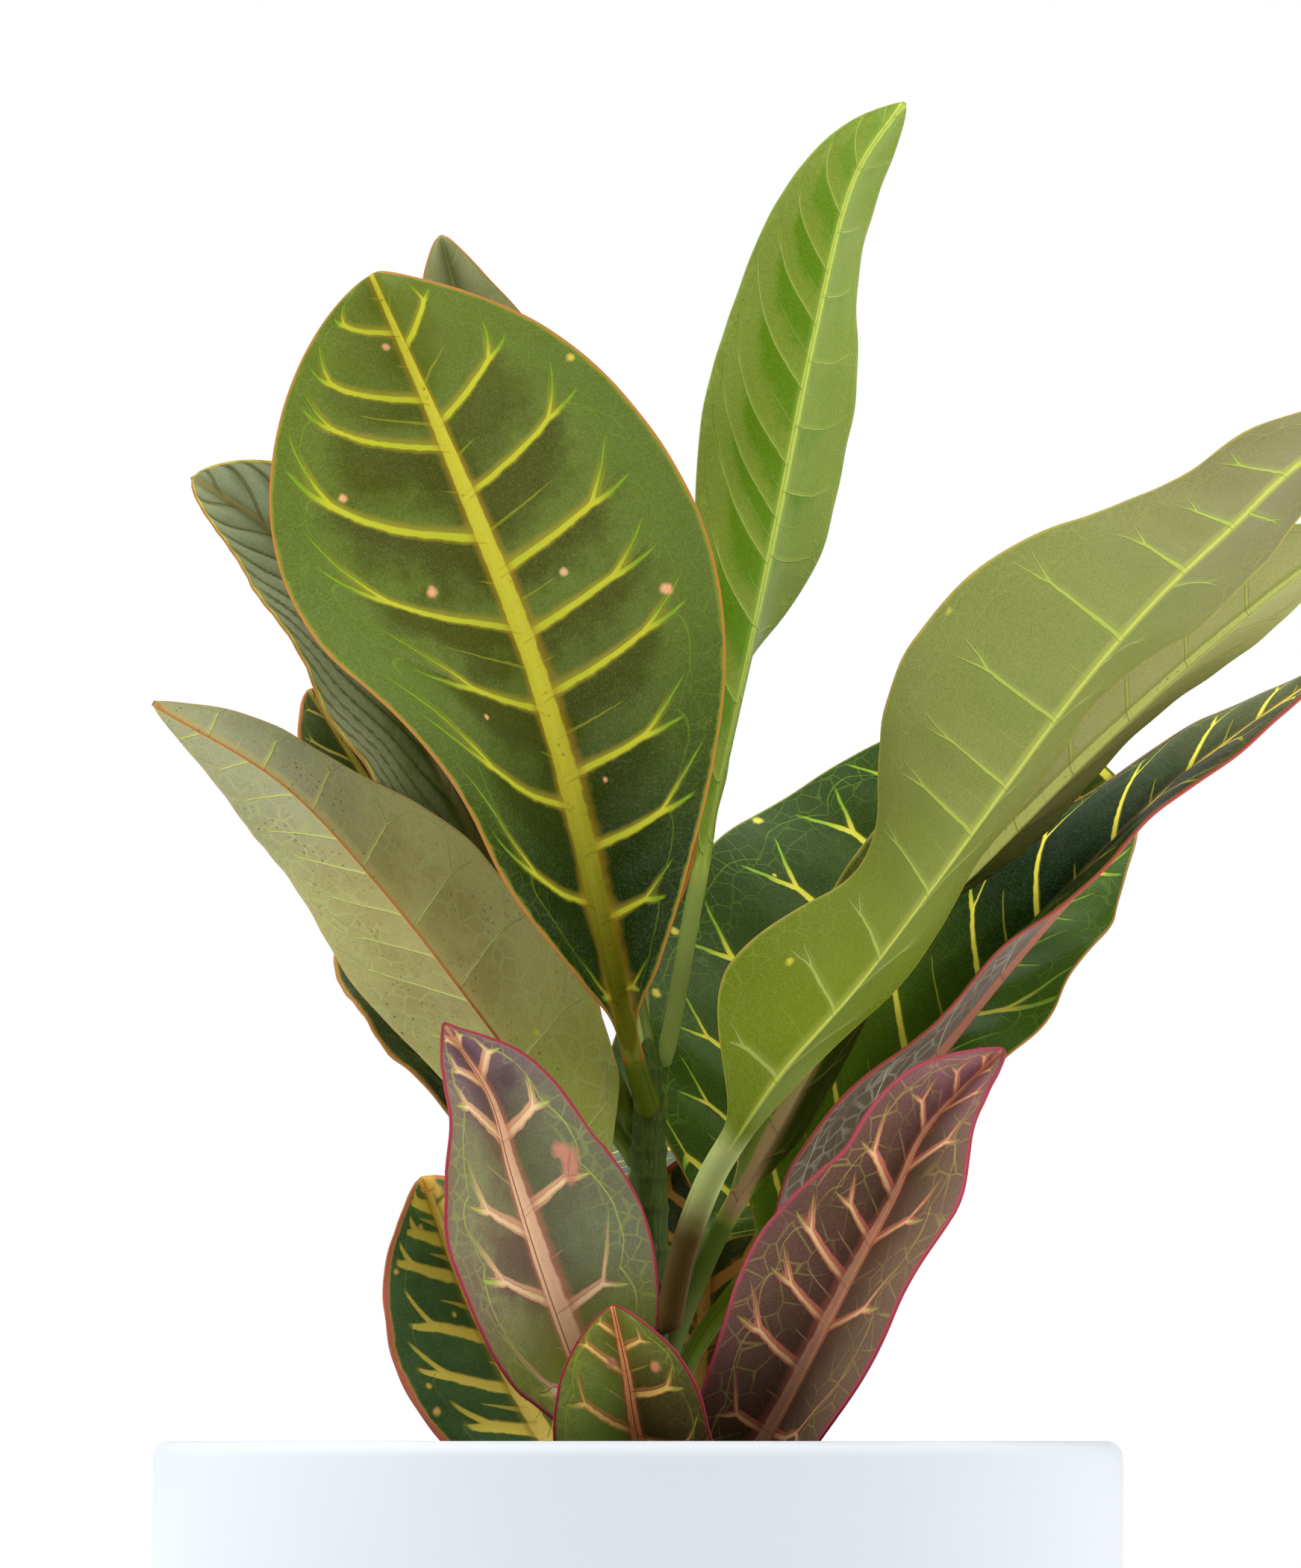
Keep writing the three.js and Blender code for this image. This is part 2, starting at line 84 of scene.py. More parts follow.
class Wire:
    """A value that runs between shader nodes, combined with Python's own arithmetic."""

    def __init__(self, tree, socket):
        self.tree = tree
        self.socket = socket

    def combined(self, operation, *others):
        inputs = dict(enumerate((self, *others)))
        return add(self.tree, "ShaderNodeMath", inputs, operation=operation)

    def __add__(self, other):
        return self.combined("ADD", other)

    def __radd__(self, other):
        return self.combined("ADD", other)

    def __sub__(self, other):
        return self.combined("SUBTRACT", other)

    def __rsub__(self, other):
        return (self * -1) + other

    def __mul__(self, other):
        return self.combined("MULTIPLY", other)

    def __rmul__(self, other):
        return self.combined("MULTIPLY", other)

    def __truediv__(self, other):
        return self.combined("DIVIDE", other)

    def __rtruediv__(self, other):
        return self.combined("POWER", -1) * other

    def __abs__(self):
        return self.combined("ABSOLUTE")

    def rounded(self):
        return self.combined("ROUND")

    def larger(self, other):
        return self.combined("MAXIMUM", other)

    def smaller(self, other):
        return self.combined("MINIMUM", other)

    def rising(self, low, high):
        """0 below low and 1 above high, with a smooth step between."""
        inputs = {"Value": self, "From Min": low, "From Max": high}
        return add(self.tree, "ShaderNodeMapRange", inputs, interpolation_type="SMOOTHSTEP")

    def falling(self, low, high):
        return 1 - self.rising(low, high)


def new_material(name, roughness, **settings):
    """A material with a plain surface shader, its node tree and that shader."""
    material = bpy.data.materials.new(name)
    material.use_nodes = True
    shader = material.node_tree.nodes["Principled BSDF"]
    shader.inputs["Roughness"].default_value = roughness
    for socket, value in settings.items():
        shader.inputs[socket.replace("_", " ")].default_value = value
    return material, material.node_tree, shader


side_light = 1.5
front_light = 0.1
back_light = 0.65
top_light = 0.9
front_fade = (-1.0, -0.1)
back_fade = (0.25, 1.0)
top_fade = (0.2, 1.0)
pure_white = (1, 1, 1, 1)
world = bpy.data.worlds.new("studio")
bpy.context.scene.world = world
world.use_nodes = True
sky = world.node_tree
sky_direction = add(sky, "ShaderNodeTexCoord", output="Generated")
toward_back = add(sky, "ShaderNodeSeparateXYZ", {0: sky_direction}, output="Y")
upward = add(sky, "ShaderNodeSeparateXYZ", {0: sky_direction}, output="Z")
round_light = front_light + (side_light - front_light) * toward_back.rising(*front_fade)
round_light = round_light - (side_light - back_light) * toward_back.rising(*back_fade)
sky_light = round_light + top_light * upward.rising(*top_fade)
seen = add(sky, "ShaderNodeLightPath", output="Is Camera Ray")
sky_strength = sky_light * (1 - seen) + seen
join(sky, sky_strength, sky.nodes["Background"].inputs["Strength"])
sky.nodes["Background"].inputs["Color"].default_value = pure_white


def new_piece(name, points, faces, materials):
    """A smooth mesh from points in millimetres, linked into the scene."""
    mesh = bpy.data.meshes.new(name)
    mesh.from_pydata((np.asarray(points, float) * MM).tolist(), [], faces)
    mesh.update()
    for material in materials:
        mesh.materials.append(material)
    mesh.shade_smooth()
    piece = bpy.data.objects.new(name, mesh)
    bpy.context.scene.collection.objects.link(piece)
    return piece


floor_radius = 6000
floor_sides = 96
floor_drop = 0.2
floor_white = (0.85, 0.85, 0.85, 1)
floor_glow = 0.1
floor_paint, _, floor_shader = new_material("floor_paint", 0.9, Emission_Strength=floor_glow)
floor_shader.inputs["Base Color"].default_value = floor_white
floor_shader.inputs["Emission Color"].default_value = pure_white
angles = [2 * math.pi * i / floor_sides for i in range(floor_sides)]
floor_points = [(floor_radius * math.cos(a), floor_radius * math.sin(a), -floor_drop) for a in angles]
floor = new_piece("floor", floor_points, [list(range(floor_sides))], [floor_paint])

lamp_width = 1400
lamp_depth = 1000
lamp_watts = 5
lamp_place = (-900, -200, 1600)
lamp_tilt = (8, -30, 0)
lamp_data = bpy.data.lights.new("softbox", "AREA")
lamp_data.shape = "RECTANGLE"
lamp_data.size = lamp_width * MM
lamp_data.size_y = lamp_depth * MM
lamp_data.energy = lamp_watts
lamp = bpy.data.objects.new("softbox", lamp_data)
lamp.location = [value * MM for value in lamp_place]
lamp.rotation_euler = [math.radians(angle) for angle in lamp_tilt]
bpy.context.scene.collection.objects.link(lamp)


# Pot
# One thrown cylinder of white stoneware under a satin glaze, with a rounded lip and a flat foot.
# It stands on the floor and holds the soil. The glaze runs a little thinner in soft clouds.
def mixed(tree, amount, first, second):
    """The first colour with an amount of the second laid over it."""
    node = tree.nodes.new("ShaderNodeMix")
    node.data_type = "RGBA"
    join(tree, amount, node.inputs[0])
    join(tree, first, node.inputs[6])
    join(tree, second, node.inputs[7])
    return Wire(tree, node.outputs[2])


def noise(tree, place, size, detail=2.0, roughness=0.5):
    """Soft noise around 0, with patches of about a size in millimetres."""
    inputs = {"Vector": place, "Scale": 1 / size, "Detail": detail, "Roughness": roughness}
    return add(tree, "ShaderNodeTexNoise", inputs) - 0.5


def millimetres(tree):
    """Places on the object in millimetres."""
    place = add(tree, "ShaderNodeTexCoord", output="Object")
    return add(tree, "ShaderNodeVectorMath", {0: place, "Scale": 1 / MM}, operation="SCALE")


def linear(red, green, blue):
    """A colour as a shader takes it, from its screen values of 0 to 255."""
    parts = [value / 255 for value in (red, green, blue)]
    return (*[p / 12.92 if p <= 0.04045 else ((p + 0.055) / 1.055) ** 2.4 for p in parts], 1)


def raised(tree, shader, strength, height):
    """Gives a surface fine relief from heights in millimetres."""
    bump = add(tree, "ShaderNodeBump", {"Strength": strength, "Distance": MM, "Height": height})
    join(tree, bump, shader.inputs["Normal"])


pot_radius = 70
pot_height = 130
pot_wall = 5
pot_floor = 6
lip_round = 2.5
foot_round = 2
floor_round = 4
pot_sides = 256
wall_steps = 24
foot_steps = 8
lip_steps = 16
glaze_white = linear(203, 208, 213)
glaze_thin = linear(198, 203, 210)
glaze_dullness = 0.36
glaze_cloud_size = 40
glaze_cloud_amount = 0.35
glaze_cloud_dulling = 0.06
glaze_ripple_size = 18
glaze_ripple_height = 0.05
glaze_grain_size = 0.8
glaze_grain_height = 0.006
pinholes_per_mm = 0.35
pinhole_edge = (0.04, 0.1)
pinhole_depth = 0.02


def arc(centre_r, centre_z, radius, from_degrees, to_degrees, steps):
    """Points along an arc of a profile."""
    turn = np.radians(np.linspace(from_degrees, to_degrees, steps + 1))
    return list(zip(centre_r + radius * np.cos(turn), centre_z + radius * np.sin(turn)))


def turned(name, profile, sides, materials):
    """A piece turned round the upright axis, from a profile that starts and ends on it."""
    inner = profile[1:-1]
    turn = 2 * np.pi * np.arange(sides) / sides
    points = [(0, 0, profile[0][1])]
    for r, z in inner:
        points.extend(zip(r * np.cos(turn), r * np.sin(turn), np.full(sides, z)))
    points.append((0, 0, profile[-1][1]))
    faces = []
    for i in range(sides):
        after = (i + 1) % sides
        faces.append((0, 1 + after, 1 + i))
        for ring in range(len(inner) - 1):
            low = 1 + ring * sides
            faces.append((low + i, low + after, low + sides + after, low + sides + i))
        top = 1 + (len(inner) - 1) * sides
        faces.append((top + i, top + after, len(points) - 1))
    return new_piece(name, points, faces, materials)


glaze, tree, shader = new_material(
    "white_glaze", 0.45, Coat_Weight=0.08, Coat_Roughness=0.25, Specular_IOR_Level=0.3
)
place = millimetres(tree)
clouds = noise(tree, place, glaze_cloud_size, detail=3).rising(-0.2, 0.2)
pinholes = add(tree, "ShaderNodeTexVoronoi", {"Vector": place, "Scale": pinholes_per_mm})
pinholes = pinholes.falling(*pinhole_edge)
glaze_colour = mixed(tree, clouds * glaze_cloud_amount, glaze_white, glaze_thin)
join(tree, glaze_colour, shader.inputs["Base Color"])
join(tree, glaze_dullness + glaze_cloud_dulling * clouds, shader.inputs["Roughness"])
glaze_ripple = noise(tree, place, glaze_ripple_size, detail=2) * glaze_ripple_height
glaze_grain = noise(tree, place, glaze_grain_size, detail=1) * glaze_grain_height
glaze_waves = glaze_ripple + glaze_grain - pinholes * pinhole_depth
raised(tree, shader, 0.6, glaze_waves)

pot_inside = pot_radius - pot_wall
lip_start = pot_height - lip_round
inner_foot = pot_floor + floor_round
pot_profile = [
    (0, 0),
    (pot_radius / 2, 0),
    *arc(pot_radius - foot_round, foot_round, foot_round, -90, 0, foot_steps),
    *[(pot_radius, z) for z in np.linspace(foot_round, lip_start, wall_steps)[1:-1]],
    *arc(pot_radius - lip_round, lip_start, lip_round, 0, 180, lip_steps),
    *[(pot_inside, z) for z in np.linspace(lip_start, inner_foot, wall_steps)[1:-1]],
    *arc(pot_inside - floor_round, inner_foot, floor_round, 0, -90, foot_steps),
    (0, pot_floor),
]
pot = turned("white_pot", pot_profile, pot_sides, [glaze])
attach(pot, "root")
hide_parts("pot")


# Soil
# Moist potting mix of peat, bark chips and white perlite, pressed into the pot up to 18 mm under its lip.
# The stem stands in a plain hole in it, and the mix is heaped a little round the stem.
fit = 0.3
soil_top = 112
stem_x = 1.5
stem_thickest = 3
soil_radius = pot_inside - fit
soil_hole = stem_thickest + fit
soil_rings = 88
soil_sides = 260
stem_foot = 82
mound_height = 1.2
mound_spread = 500
clump_height = 0.7
dip_height = 0.5
crumb_height = 0.25
level_radius = 12
shifted_radius = 30


def soil_height(x, y):
    """Height of the crumbly top: a low mound round the stem, clumps further out, and fine crumbs."""
    middle = np.hypot(x, y)
    mound = mound_height * np.exp(-middle**2 / mound_spread)
    clumps = clump_height * np.sin(0.31 * x + 1.2) * np.cos(0.27 * y - 0.4)
    dips = dip_height * np.sin(0.62 * y + 0.4 * x)
    crumbs = np.sin(2.1 * x + 1.3 * np.sin(1.7 * y)) * np.sin(1.9 * y + 1.1 * np.sin(1.3 * x))
    uneven = (clumps + dips) * np.minimum(1, middle / level_radius)
    return soil_top + mound + uneven + crumb_height * crumbs


peat_dark = linear(38, 28, 22)
peat_light = linear(92, 70, 52)
peat_crumbs_per_mm = 0.7
clod_size = 6
peat_grain_size = 0.9
peat_grain_amount = 0.4
grit_size = 1.4
grit_height = 0.6
crumb_depth = 0.4
potting_mix, tree, shader = new_material("potting_mix", 0.95)
place = millimetres(tree)
crumb_cells = {"Vector": place, "Scale": peat_crumbs_per_mm}
crumb = add(tree, "ShaderNodeTexVoronoi", crumb_cells, feature="SMOOTH_F1")
clods = noise(tree, place, clod_size, detail=5, roughness=0.7)
tone = clods + peat_grain_amount * noise(tree, place, peat_grain_size, detail=3)
tone = tone.rising(-0.25, 0.3)
join(tree, mixed(tree, tone, peat_dark, peat_light), shader.inputs["Base Color"])
grit = noise(tree, place, grit_size, detail=4, roughness=0.7) * grit_height - crumb * crumb_depth
raised(tree, shader, 0.9, grit)

ring_share = np.linspace(0, 1, soil_rings)
ring_radius = soil_hole + (soil_radius - soil_hole) * ring_share
turn = 2 * np.pi * np.arange(soil_sides) / soil_sides
soil_x = ring_radius[:, None] * np.cos(turn)
soil_y = ring_radius[:, None] * np.sin(turn)
soil_z = soil_height(soil_x, soil_y)
pull = np.maximum(0, 1 - np.hypot(soil_x, soil_y) / shifted_radius)
pull[0] = 1
soil_points = np.stack([soil_x + stem_x * pull, soil_y, soil_z], -1).reshape(-1, 3).tolist()
soil_faces = []
for ring in range(soil_rings - 1):
    for i in range(soil_sides):
        low = ring * soil_sides
        after = (i + 1) % soil_sides
        soil_faces.append((low + i, low + soil_sides + i, low + soil_sides + after, low + after))
outer = (soil_rings - 1) * soil_sides
for skirt_x, skirt_r, skirt_z, start, flip in (
    (0, soil_radius, pot_floor + fit + floor_round, outer, False),
    (stem_x, soil_hole, stem_foot - fit, 0, True),
):
    low = len(soil_points)
    soil_points.extend((skirt_x + skirt_r * np.cos(a), skirt_r * np.sin(a), skirt_z) for a in turn)
    for i in range(soil_sides):
        after = (i + 1) % soil_sides
        wall = (start + i, low + i, low + after, start + after)
        soil_faces.append(wall[::-1] if flip else wall)
    base = list(range(low, low + soil_sides))
    soil_faces.append(base if flip else base[::-1])
soil = new_piece("soil_bed", soil_points, soil_faces, [potting_mix])
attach(soil, "root")
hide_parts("soil")

bark_dark = linear(62, 40, 26)
bark_light = linear(128, 92, 62)
fibre_squeeze = (1, 5, 2)
fibre_size = 3
fibre_height = 0.3
bark_chip, tree, shader = new_material("bark_chip", 0.85)
place = millimetres(tree)
fibre = add(tree, "ShaderNodeMapping", {"Vector": place, "Scale": fibre_squeeze})
tone = noise(tree, fibre, fibre_size, detail=4).rising(-0.2, 0.25)
join(tree, mixed(tree, tone, bark_dark, bark_light), shader.inputs["Base Color"])
raised(tree, shader, 0.7, tone * fibre_height)

perlite_white = linear(236, 233, 226)
perlite_pore = linear(196, 190, 178)
pores_per_mm = 2.2
pore_depth = 0.2
perlite, tree, shader = new_material("perlite", 0.9)
place = millimetres(tree)
pores = add(tree, "ShaderNodeTexVoronoi", {"Vector": place, "Scale": pores_per_mm}).falling(0.1, 0.5)
join(tree, mixed(tree, pores, perlite_white, perlite_pore), shader.inputs["Base Color"])
raised(tree, shader, 0.8, pores * -pore_depth)

lump_rings = 5
lump_sides = 9
lump_tilt = 0.3
lump_rise = 0.2
smallest_lump = 0.5
strewn_from = 0.006
strewn_to = 0.9


def lump(chance, x, y, length, width, height, roughness):
    """One lump lying on the soil: an uneven little ball, as points and faces."""
    heading = chance.uniform(0, math.pi)
    tilt = chance.uniform(-lump_tilt, lump_tilt)
    z = float(soil_height(np.float64(x), np.float64(y)))
    points = []
    for ring in range(lump_rings):
        rise = math.pi * (ring + 0.5) / lump_rings
        for side in range(lump_sides):
            a = 2 * math.pi * side / lump_sides
            uneven = 1 + chance.uniform(-roughness, roughness)
            along = length * math.sin(rise) * math.cos(a) * uneven
            across = width * math.sin(rise) * math.sin(a) * uneven
            up = height * math.cos(rise) * uneven + tilt * along
            spot_x = x + along * math.cos(heading) - across * math.sin(heading)
            spot_y = y + along * math.sin(heading) + across * math.cos(heading)
            points.append((spot_x, spot_y, z + up + lump_rise * height))
    faces = [list(range(lump_sides))[::-1]]
    for ring in range(lump_rings - 1):
        for side in range(lump_sides):
            after = (side + 1) % lump_sides
            low = ring * lump_sides
            high = low + lump_sides
            faces.append((low + side, low + after, high + after, high + side)[::-1])
    faces.append(list(range(len(points) - lump_sides, len(points))))
    return points, faces


def scattered(name, count, material, sizes, seed):
    """A piece of many lumps strewn over the soil, clear of the stem and of the pot's wall."""
    chance = random.Random(seed)
    points = []
    faces = []
    length, width, height, roughness = sizes
    for _ in range(count):
        scale = chance.uniform(smallest_lump, 1)
        away = math.sqrt(chance.uniform(strewn_from, strewn_to)) * soil_radius
        bearing = chance.uniform(0, 2 * math.pi)
        x = away * math.cos(bearing) + stem_x * (away < shifted_radius)
        y = away * math.sin(bearing)
        new_points, new_faces = lump(chance, x, y, length * scale, width * scale, height * scale, roughness)
        faces.extend([len(points) + k for k in face] for face in new_faces)
        points.extend(new_points)
    piece = new_piece(name, points, faces, [material])
    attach(piece, "root")


scattered("soil_crumbs", 620, potting_mix, (1.5, 1.2, 0.9, 0.25), seed=3)
scattered("soil_bark_chips", 150, bark_chip, (3.4, 1.5, 0.6, 0.2), seed=5)
scattered("soil_perlite", 130, perlite, (1.3, 1.1, 0.9, 0.2), seed=8)


# Stem
# One young woody shoot, green-brown and a little ribbed, with a raised scar ring under each leaf stalk.
# It ends in a small pointed bud between the stalks of the youngest leaves.
stem_top = 188.4
stem_sides = 48
stem_profile = [
    (stem_foot, 2.3), (104, stem_thickest), (118, stem_thickest), (140, 2.85),
    (165, 2.75), (178, 2.3), (184, 1.9), (187, 1.5),
]
stem_heights = [z for z, _ in stem_profile]
stem_radii = [r for _, r in stem_profile]
scar_heights = (
    113, 119.5, 123.5, 127.5, 133.5, 141.5, 147.5, 152.5, 157.5, 163.5, 168, 172, 176.5, 180, 183.5,
)
scar_height = 0.28
scar_spread = 0.55
stem_row_count = 260
bud_start = 184
bud_point = 2.2
bud_blunt = 0.004
rib_depth = 0.02
fine_rib_depth = 0.012
bark_depth = 0.12
old_bark = linear(52, 57, 20)
young_bark = linear(52, 74, 10)
streak_green = linear(96, 104, 46)
speck_tan = linear(150, 136, 104)
young_heights = (120, 180)
streak_squeeze = (2.2, 2.2, 0.35)
streak_size = 1.2
streak_amount = 0.5
specks_per_mm = 0.9
speck_amount = 0.7


def stem_radius(z):
    """The stem's radius at a height."""
    return np.interp(z, stem_heights, stem_radii)


stem_bark, tree, shader = new_material("stem_bark", 0.62, Specular_IOR_Level=0.14)
place = millimetres(tree)
height_mm = add(tree, "ShaderNodeSeparateXYZ", {0: place}, output="Z")
young = height_mm.rising(*young_heights)
streaks = add(tree, "ShaderNodeMapping", {"Vector": place, "Scale": streak_squeeze})
tone = noise(tree, streaks, streak_size, detail=4).rising(-0.2, 0.25)
bark_colour = mixed(tree, young, old_bark, young_bark)
bark_colour = mixed(tree, tone * streak_amount, bark_colour, streak_green)
specks = add(tree, "ShaderNodeTexVoronoi", {"Vector": streaks, "Scale": specks_per_mm}).falling(0.08, 0.16)
bark_colour = mixed(tree, specks * speck_amount, bark_colour, speck_tan)
join(tree, bark_colour, shader.inputs["Base Color"])
raised(tree, shader, 0.8, tone * bark_depth + specks * bark_depth)

stem_rows = np.linspace(stem_foot, stem_top, stem_row_count)
turn = 2 * np.pi * np.arange(stem_sides) / stem_sides
stem_points = []
for z in stem_rows:
    ribs = 1 + rib_depth * np.sin(5 * turn + 0.05 * z) + fine_rib_depth * np.sin(9 * turn - 0.11 * z)
    tip = max(0.0, (z - bud_start) / (stem_top - bud_start))
    bud = stem_radius(z) * math.sqrt(max(bud_blunt, 1 - tip**bud_point))
    scars = sum(scar_height * math.exp(-(((z - s) / scar_spread) ** 2)) for s in scar_heights)
    r = (bud + scars * (1 - tip)) * ribs
    stem_points.extend(zip(stem_x + r * np.cos(turn), r * np.sin(turn), np.full(stem_sides, z)))
stem_faces = [list(range(stem_sides))[::-1]]
for row in range(len(stem_rows) - 1):
    for i in range(stem_sides):
        after = (i + 1) % stem_sides
        low = row * stem_sides
        stem_faces.append((low + i, low + after, low + stem_sides + after, low + stem_sides + i))
stem_faces.append(list(range(len(stem_points) - stem_sides, len(stem_points))))
stem = new_piece("woody_stem", stem_points, stem_faces, [stem_bark])
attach(stem, "root")
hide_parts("stem")


# Big front leaf
# The largest blade, upper side to the front: a leathery green sheet grown round a thick yellow midrib,
# with forked yellow side veins and a thin orange edge. Its stalk grows out of the stem near the top.
# Every leaf of the plant is grown by the same rules, and this one comes first, so they stand here.

# The sheet, and how finely it is divided along and across.
blade_thickness = 0.55
edge_thickness = 0.3
tip_half = 0.15
stalk_half = 0.5
row_length = 0.9
row_crowding = 0.08
stalk_row_length = 0.7
column_width = 0.85
rib_columns = 4
plain_columns_least = 6
edge_columns = (0.22, 0.07)
edge_share_most = 0.1
curve_steps = 20
path_nudge = 1e-3
# The midrib under the sheet, and the foot of the stalk where it meets the stem.
ridge_base = 1.2
ridge_tip = 0.25
fold_limit = 0.35
rib_tip = 0.5
rib_share = 0.3
crown_share = 0.3
join_share = 0.12
foot_square = 1.5
foot_reach = 3.0
foot_flare = 1.25
foot_sunk = 0.25
foot_seat = 3.0
# The edge's waves, the small frill at the vein ends, and the skin that stands up between the veins.
ripple_lag = 0.6
frill_height = 0.1
frill_shift = 1.3
plain_quilt = 0.3
quilt_start = 4
quilt_end = 0.6


def smooth_run(values, share):
    """A smooth run through evenly spaced values, read at shares from 0 to 1 of its length."""
    values = np.asarray(values, float)
    last = len(values) - 1
    place = np.clip(share, 0, 1) * last
    step = np.minimum(place.astype(int), last - 1)
    x = place - step
    if values.ndim == 2:
        x = x[:, None]
    ends = [2 * values[0] - values[1]], [2 * values[-1] - values[-2]]
    padded = np.concatenate([ends[0], values, ends[1]])
    leave = (padded[step + 2] - padded[step]) / 2
    arrive = (padded[step + 3] - padded[step + 1]) / 2
    rise = x * x * (3 - 2 * x)
    climb = (values[step + 1] - values[step]) * rise
    return values[step] + climb + leave * x * (1 - x) ** 2 - arrive * x * x * (1 - x)


def smooth(x):
    """A smooth step from 0 at 0 to 1 at 1."""
    x = np.clip(x, 0, 1)
    return x * x * (3 - 2 * x)


def unit(vectors):
    """The same directions with a length of one."""
    return vectors / np.linalg.norm(vectors, axis=-1, keepdims=True)


def midrib_line(leaf):
    """A leaf's rows along its stalk and midrib: places, directions, distances and shares of the blade."""
    path = np.array(leaf["path"], float)
    samples = np.linspace(0, 1, (len(path) - 1) * curve_steps + 1)
    steps = np.linalg.norm(np.diff(smooth_run(path, samples), axis=0), axis=1)
    run = np.concatenate([[0], np.cumsum(steps)])
    blade_start = run[leaf["base"] * curve_steps]
    blade_length = run[-1] - blade_start
    stalk_rows = int(blade_start / stalk_row_length)
    blade_rows = int(blade_length / row_length)
    share = np.linspace(0, 1, blade_rows + 1)
    share = np.clip(share - row_crowding * np.sin(2 * np.pi * share), 0, 1)
    stalk_run = np.linspace(0, blade_start, stalk_rows, endpoint=False)
    travelled = np.concatenate([stalk_run, blade_start + share * blade_length])
    t = np.concatenate([np.zeros(stalk_rows), share])
    spot = np.interp(travelled, run, samples)
    at = smooth_run(path, spot)
    forward = unit(smooth_run(path, spot + path_nudge) - smooth_run(path, spot - path_nudge))
    outward = at[:1] - [[stem_x, 0, 0]]
    outward[:, 2] = 0
    near_foot = 1 - smooth(travelled / foot_reach)
    forward = unit(forward + near_foot[:, None] * foot_square * unit(outward))
    return at, forward, travelled, t, blade_start, blade_length


def vein_phase(leaf, hand, t, out, half, length):
    """Counts the side veins of one half: a whole number on each vein, and how far apart they lie."""
    starts = np.array(leaf["veins"][hand], float)
    lean, arch = leaf["sweep"][hand]
    shift = (lean * out + arch * out**4) * half[:, None] / length
    first, last = starts[1] - starts[0], starts[-1] - starts[-2]
    before = [starts[0] - 3 * first, starts[0] - 2 * first, starts[0] - first]
    after = [starts[-1] + last, starts[-1] + 2 * last, starts[-1] + 3 * last]
    known = np.concatenate([before, starts, after])
    count = np.arange(len(known)) - 3
    start = t[:, None] - shift
    phase = np.interp(start, known, count)
    spread = np.interp(start, (known[1:] + known[:-1]) / 2, np.diff(known))
    slope = lean + 4 * arch * out**3
    return phase, spread * length / np.sqrt(1 + slope**2)


def column_shares(leaf, half, rib):
    """Where the columns of a half lie on every row: 0 is the middle of the midrib, and 1 the edge."""
    plain = max(plain_columns_least, int(leaf["half"] / column_width))
    out = np.zeros((len(half), rib_columns + plain + len(edge_columns) + 1))
    out[:, : rib_columns + 1] = (rib / half)[:, None] * np.linspace(0, 1, rib_columns + 1)
    edge_share = np.minimum(edge_columns[0] / half, edge_share_most)
    spread = np.linspace(0, 1, plain + 1)[None, 1:]
    rib_edge = out[:, rib_columns, None]
    plain_width = 1 - edge_share[:, None] - rib_edge
    out[:, rib_columns + 1 : rib_columns + plain + 1] = rib_edge + plain_width * spread
    for k, inset in enumerate(edge_columns[1:]):
        out[:, rib_columns + plain + 1 + k] = 1 - edge_share * inset / edge_columns[0]
    out[:, -1] = 1
    return out


def skin_lift(leaf, sign, t, out, half, rib, phase):
    """How far the skin of one half stands off its flat fold: its arch, waves, frill and quilting."""
    wave_height, wave_count, wave_phase = leaf["wave"]
    width = half[:, None]
    arch = 4 * leaf["camber"] * width * out * (1 - out)
    swing = np.sqrt(np.maximum(np.sin(np.pi * t), 0))[:, None]
    ripple = (2 * np.pi * wave_count * t + wave_phase + sign)[:, None] + ripple_lag * out
    ripple = np.sin(ripple) * swing
    frill = frill_height * np.sin(2 * np.pi * phase + frill_shift * sign) * out**3 * swing
    pillow = leaf.get("quilt", plain_quilt) * (np.sin(np.pi * phase) ** 2 - 0.5)
    pillow = pillow * smooth((out * width - rib[:, None]) / quilt_start)
    pillow = pillow * (1 - smooth((out - quilt_end) / (1 - quilt_end)))
    return arch + wave_height * out**2 * ripple + frill + pillow


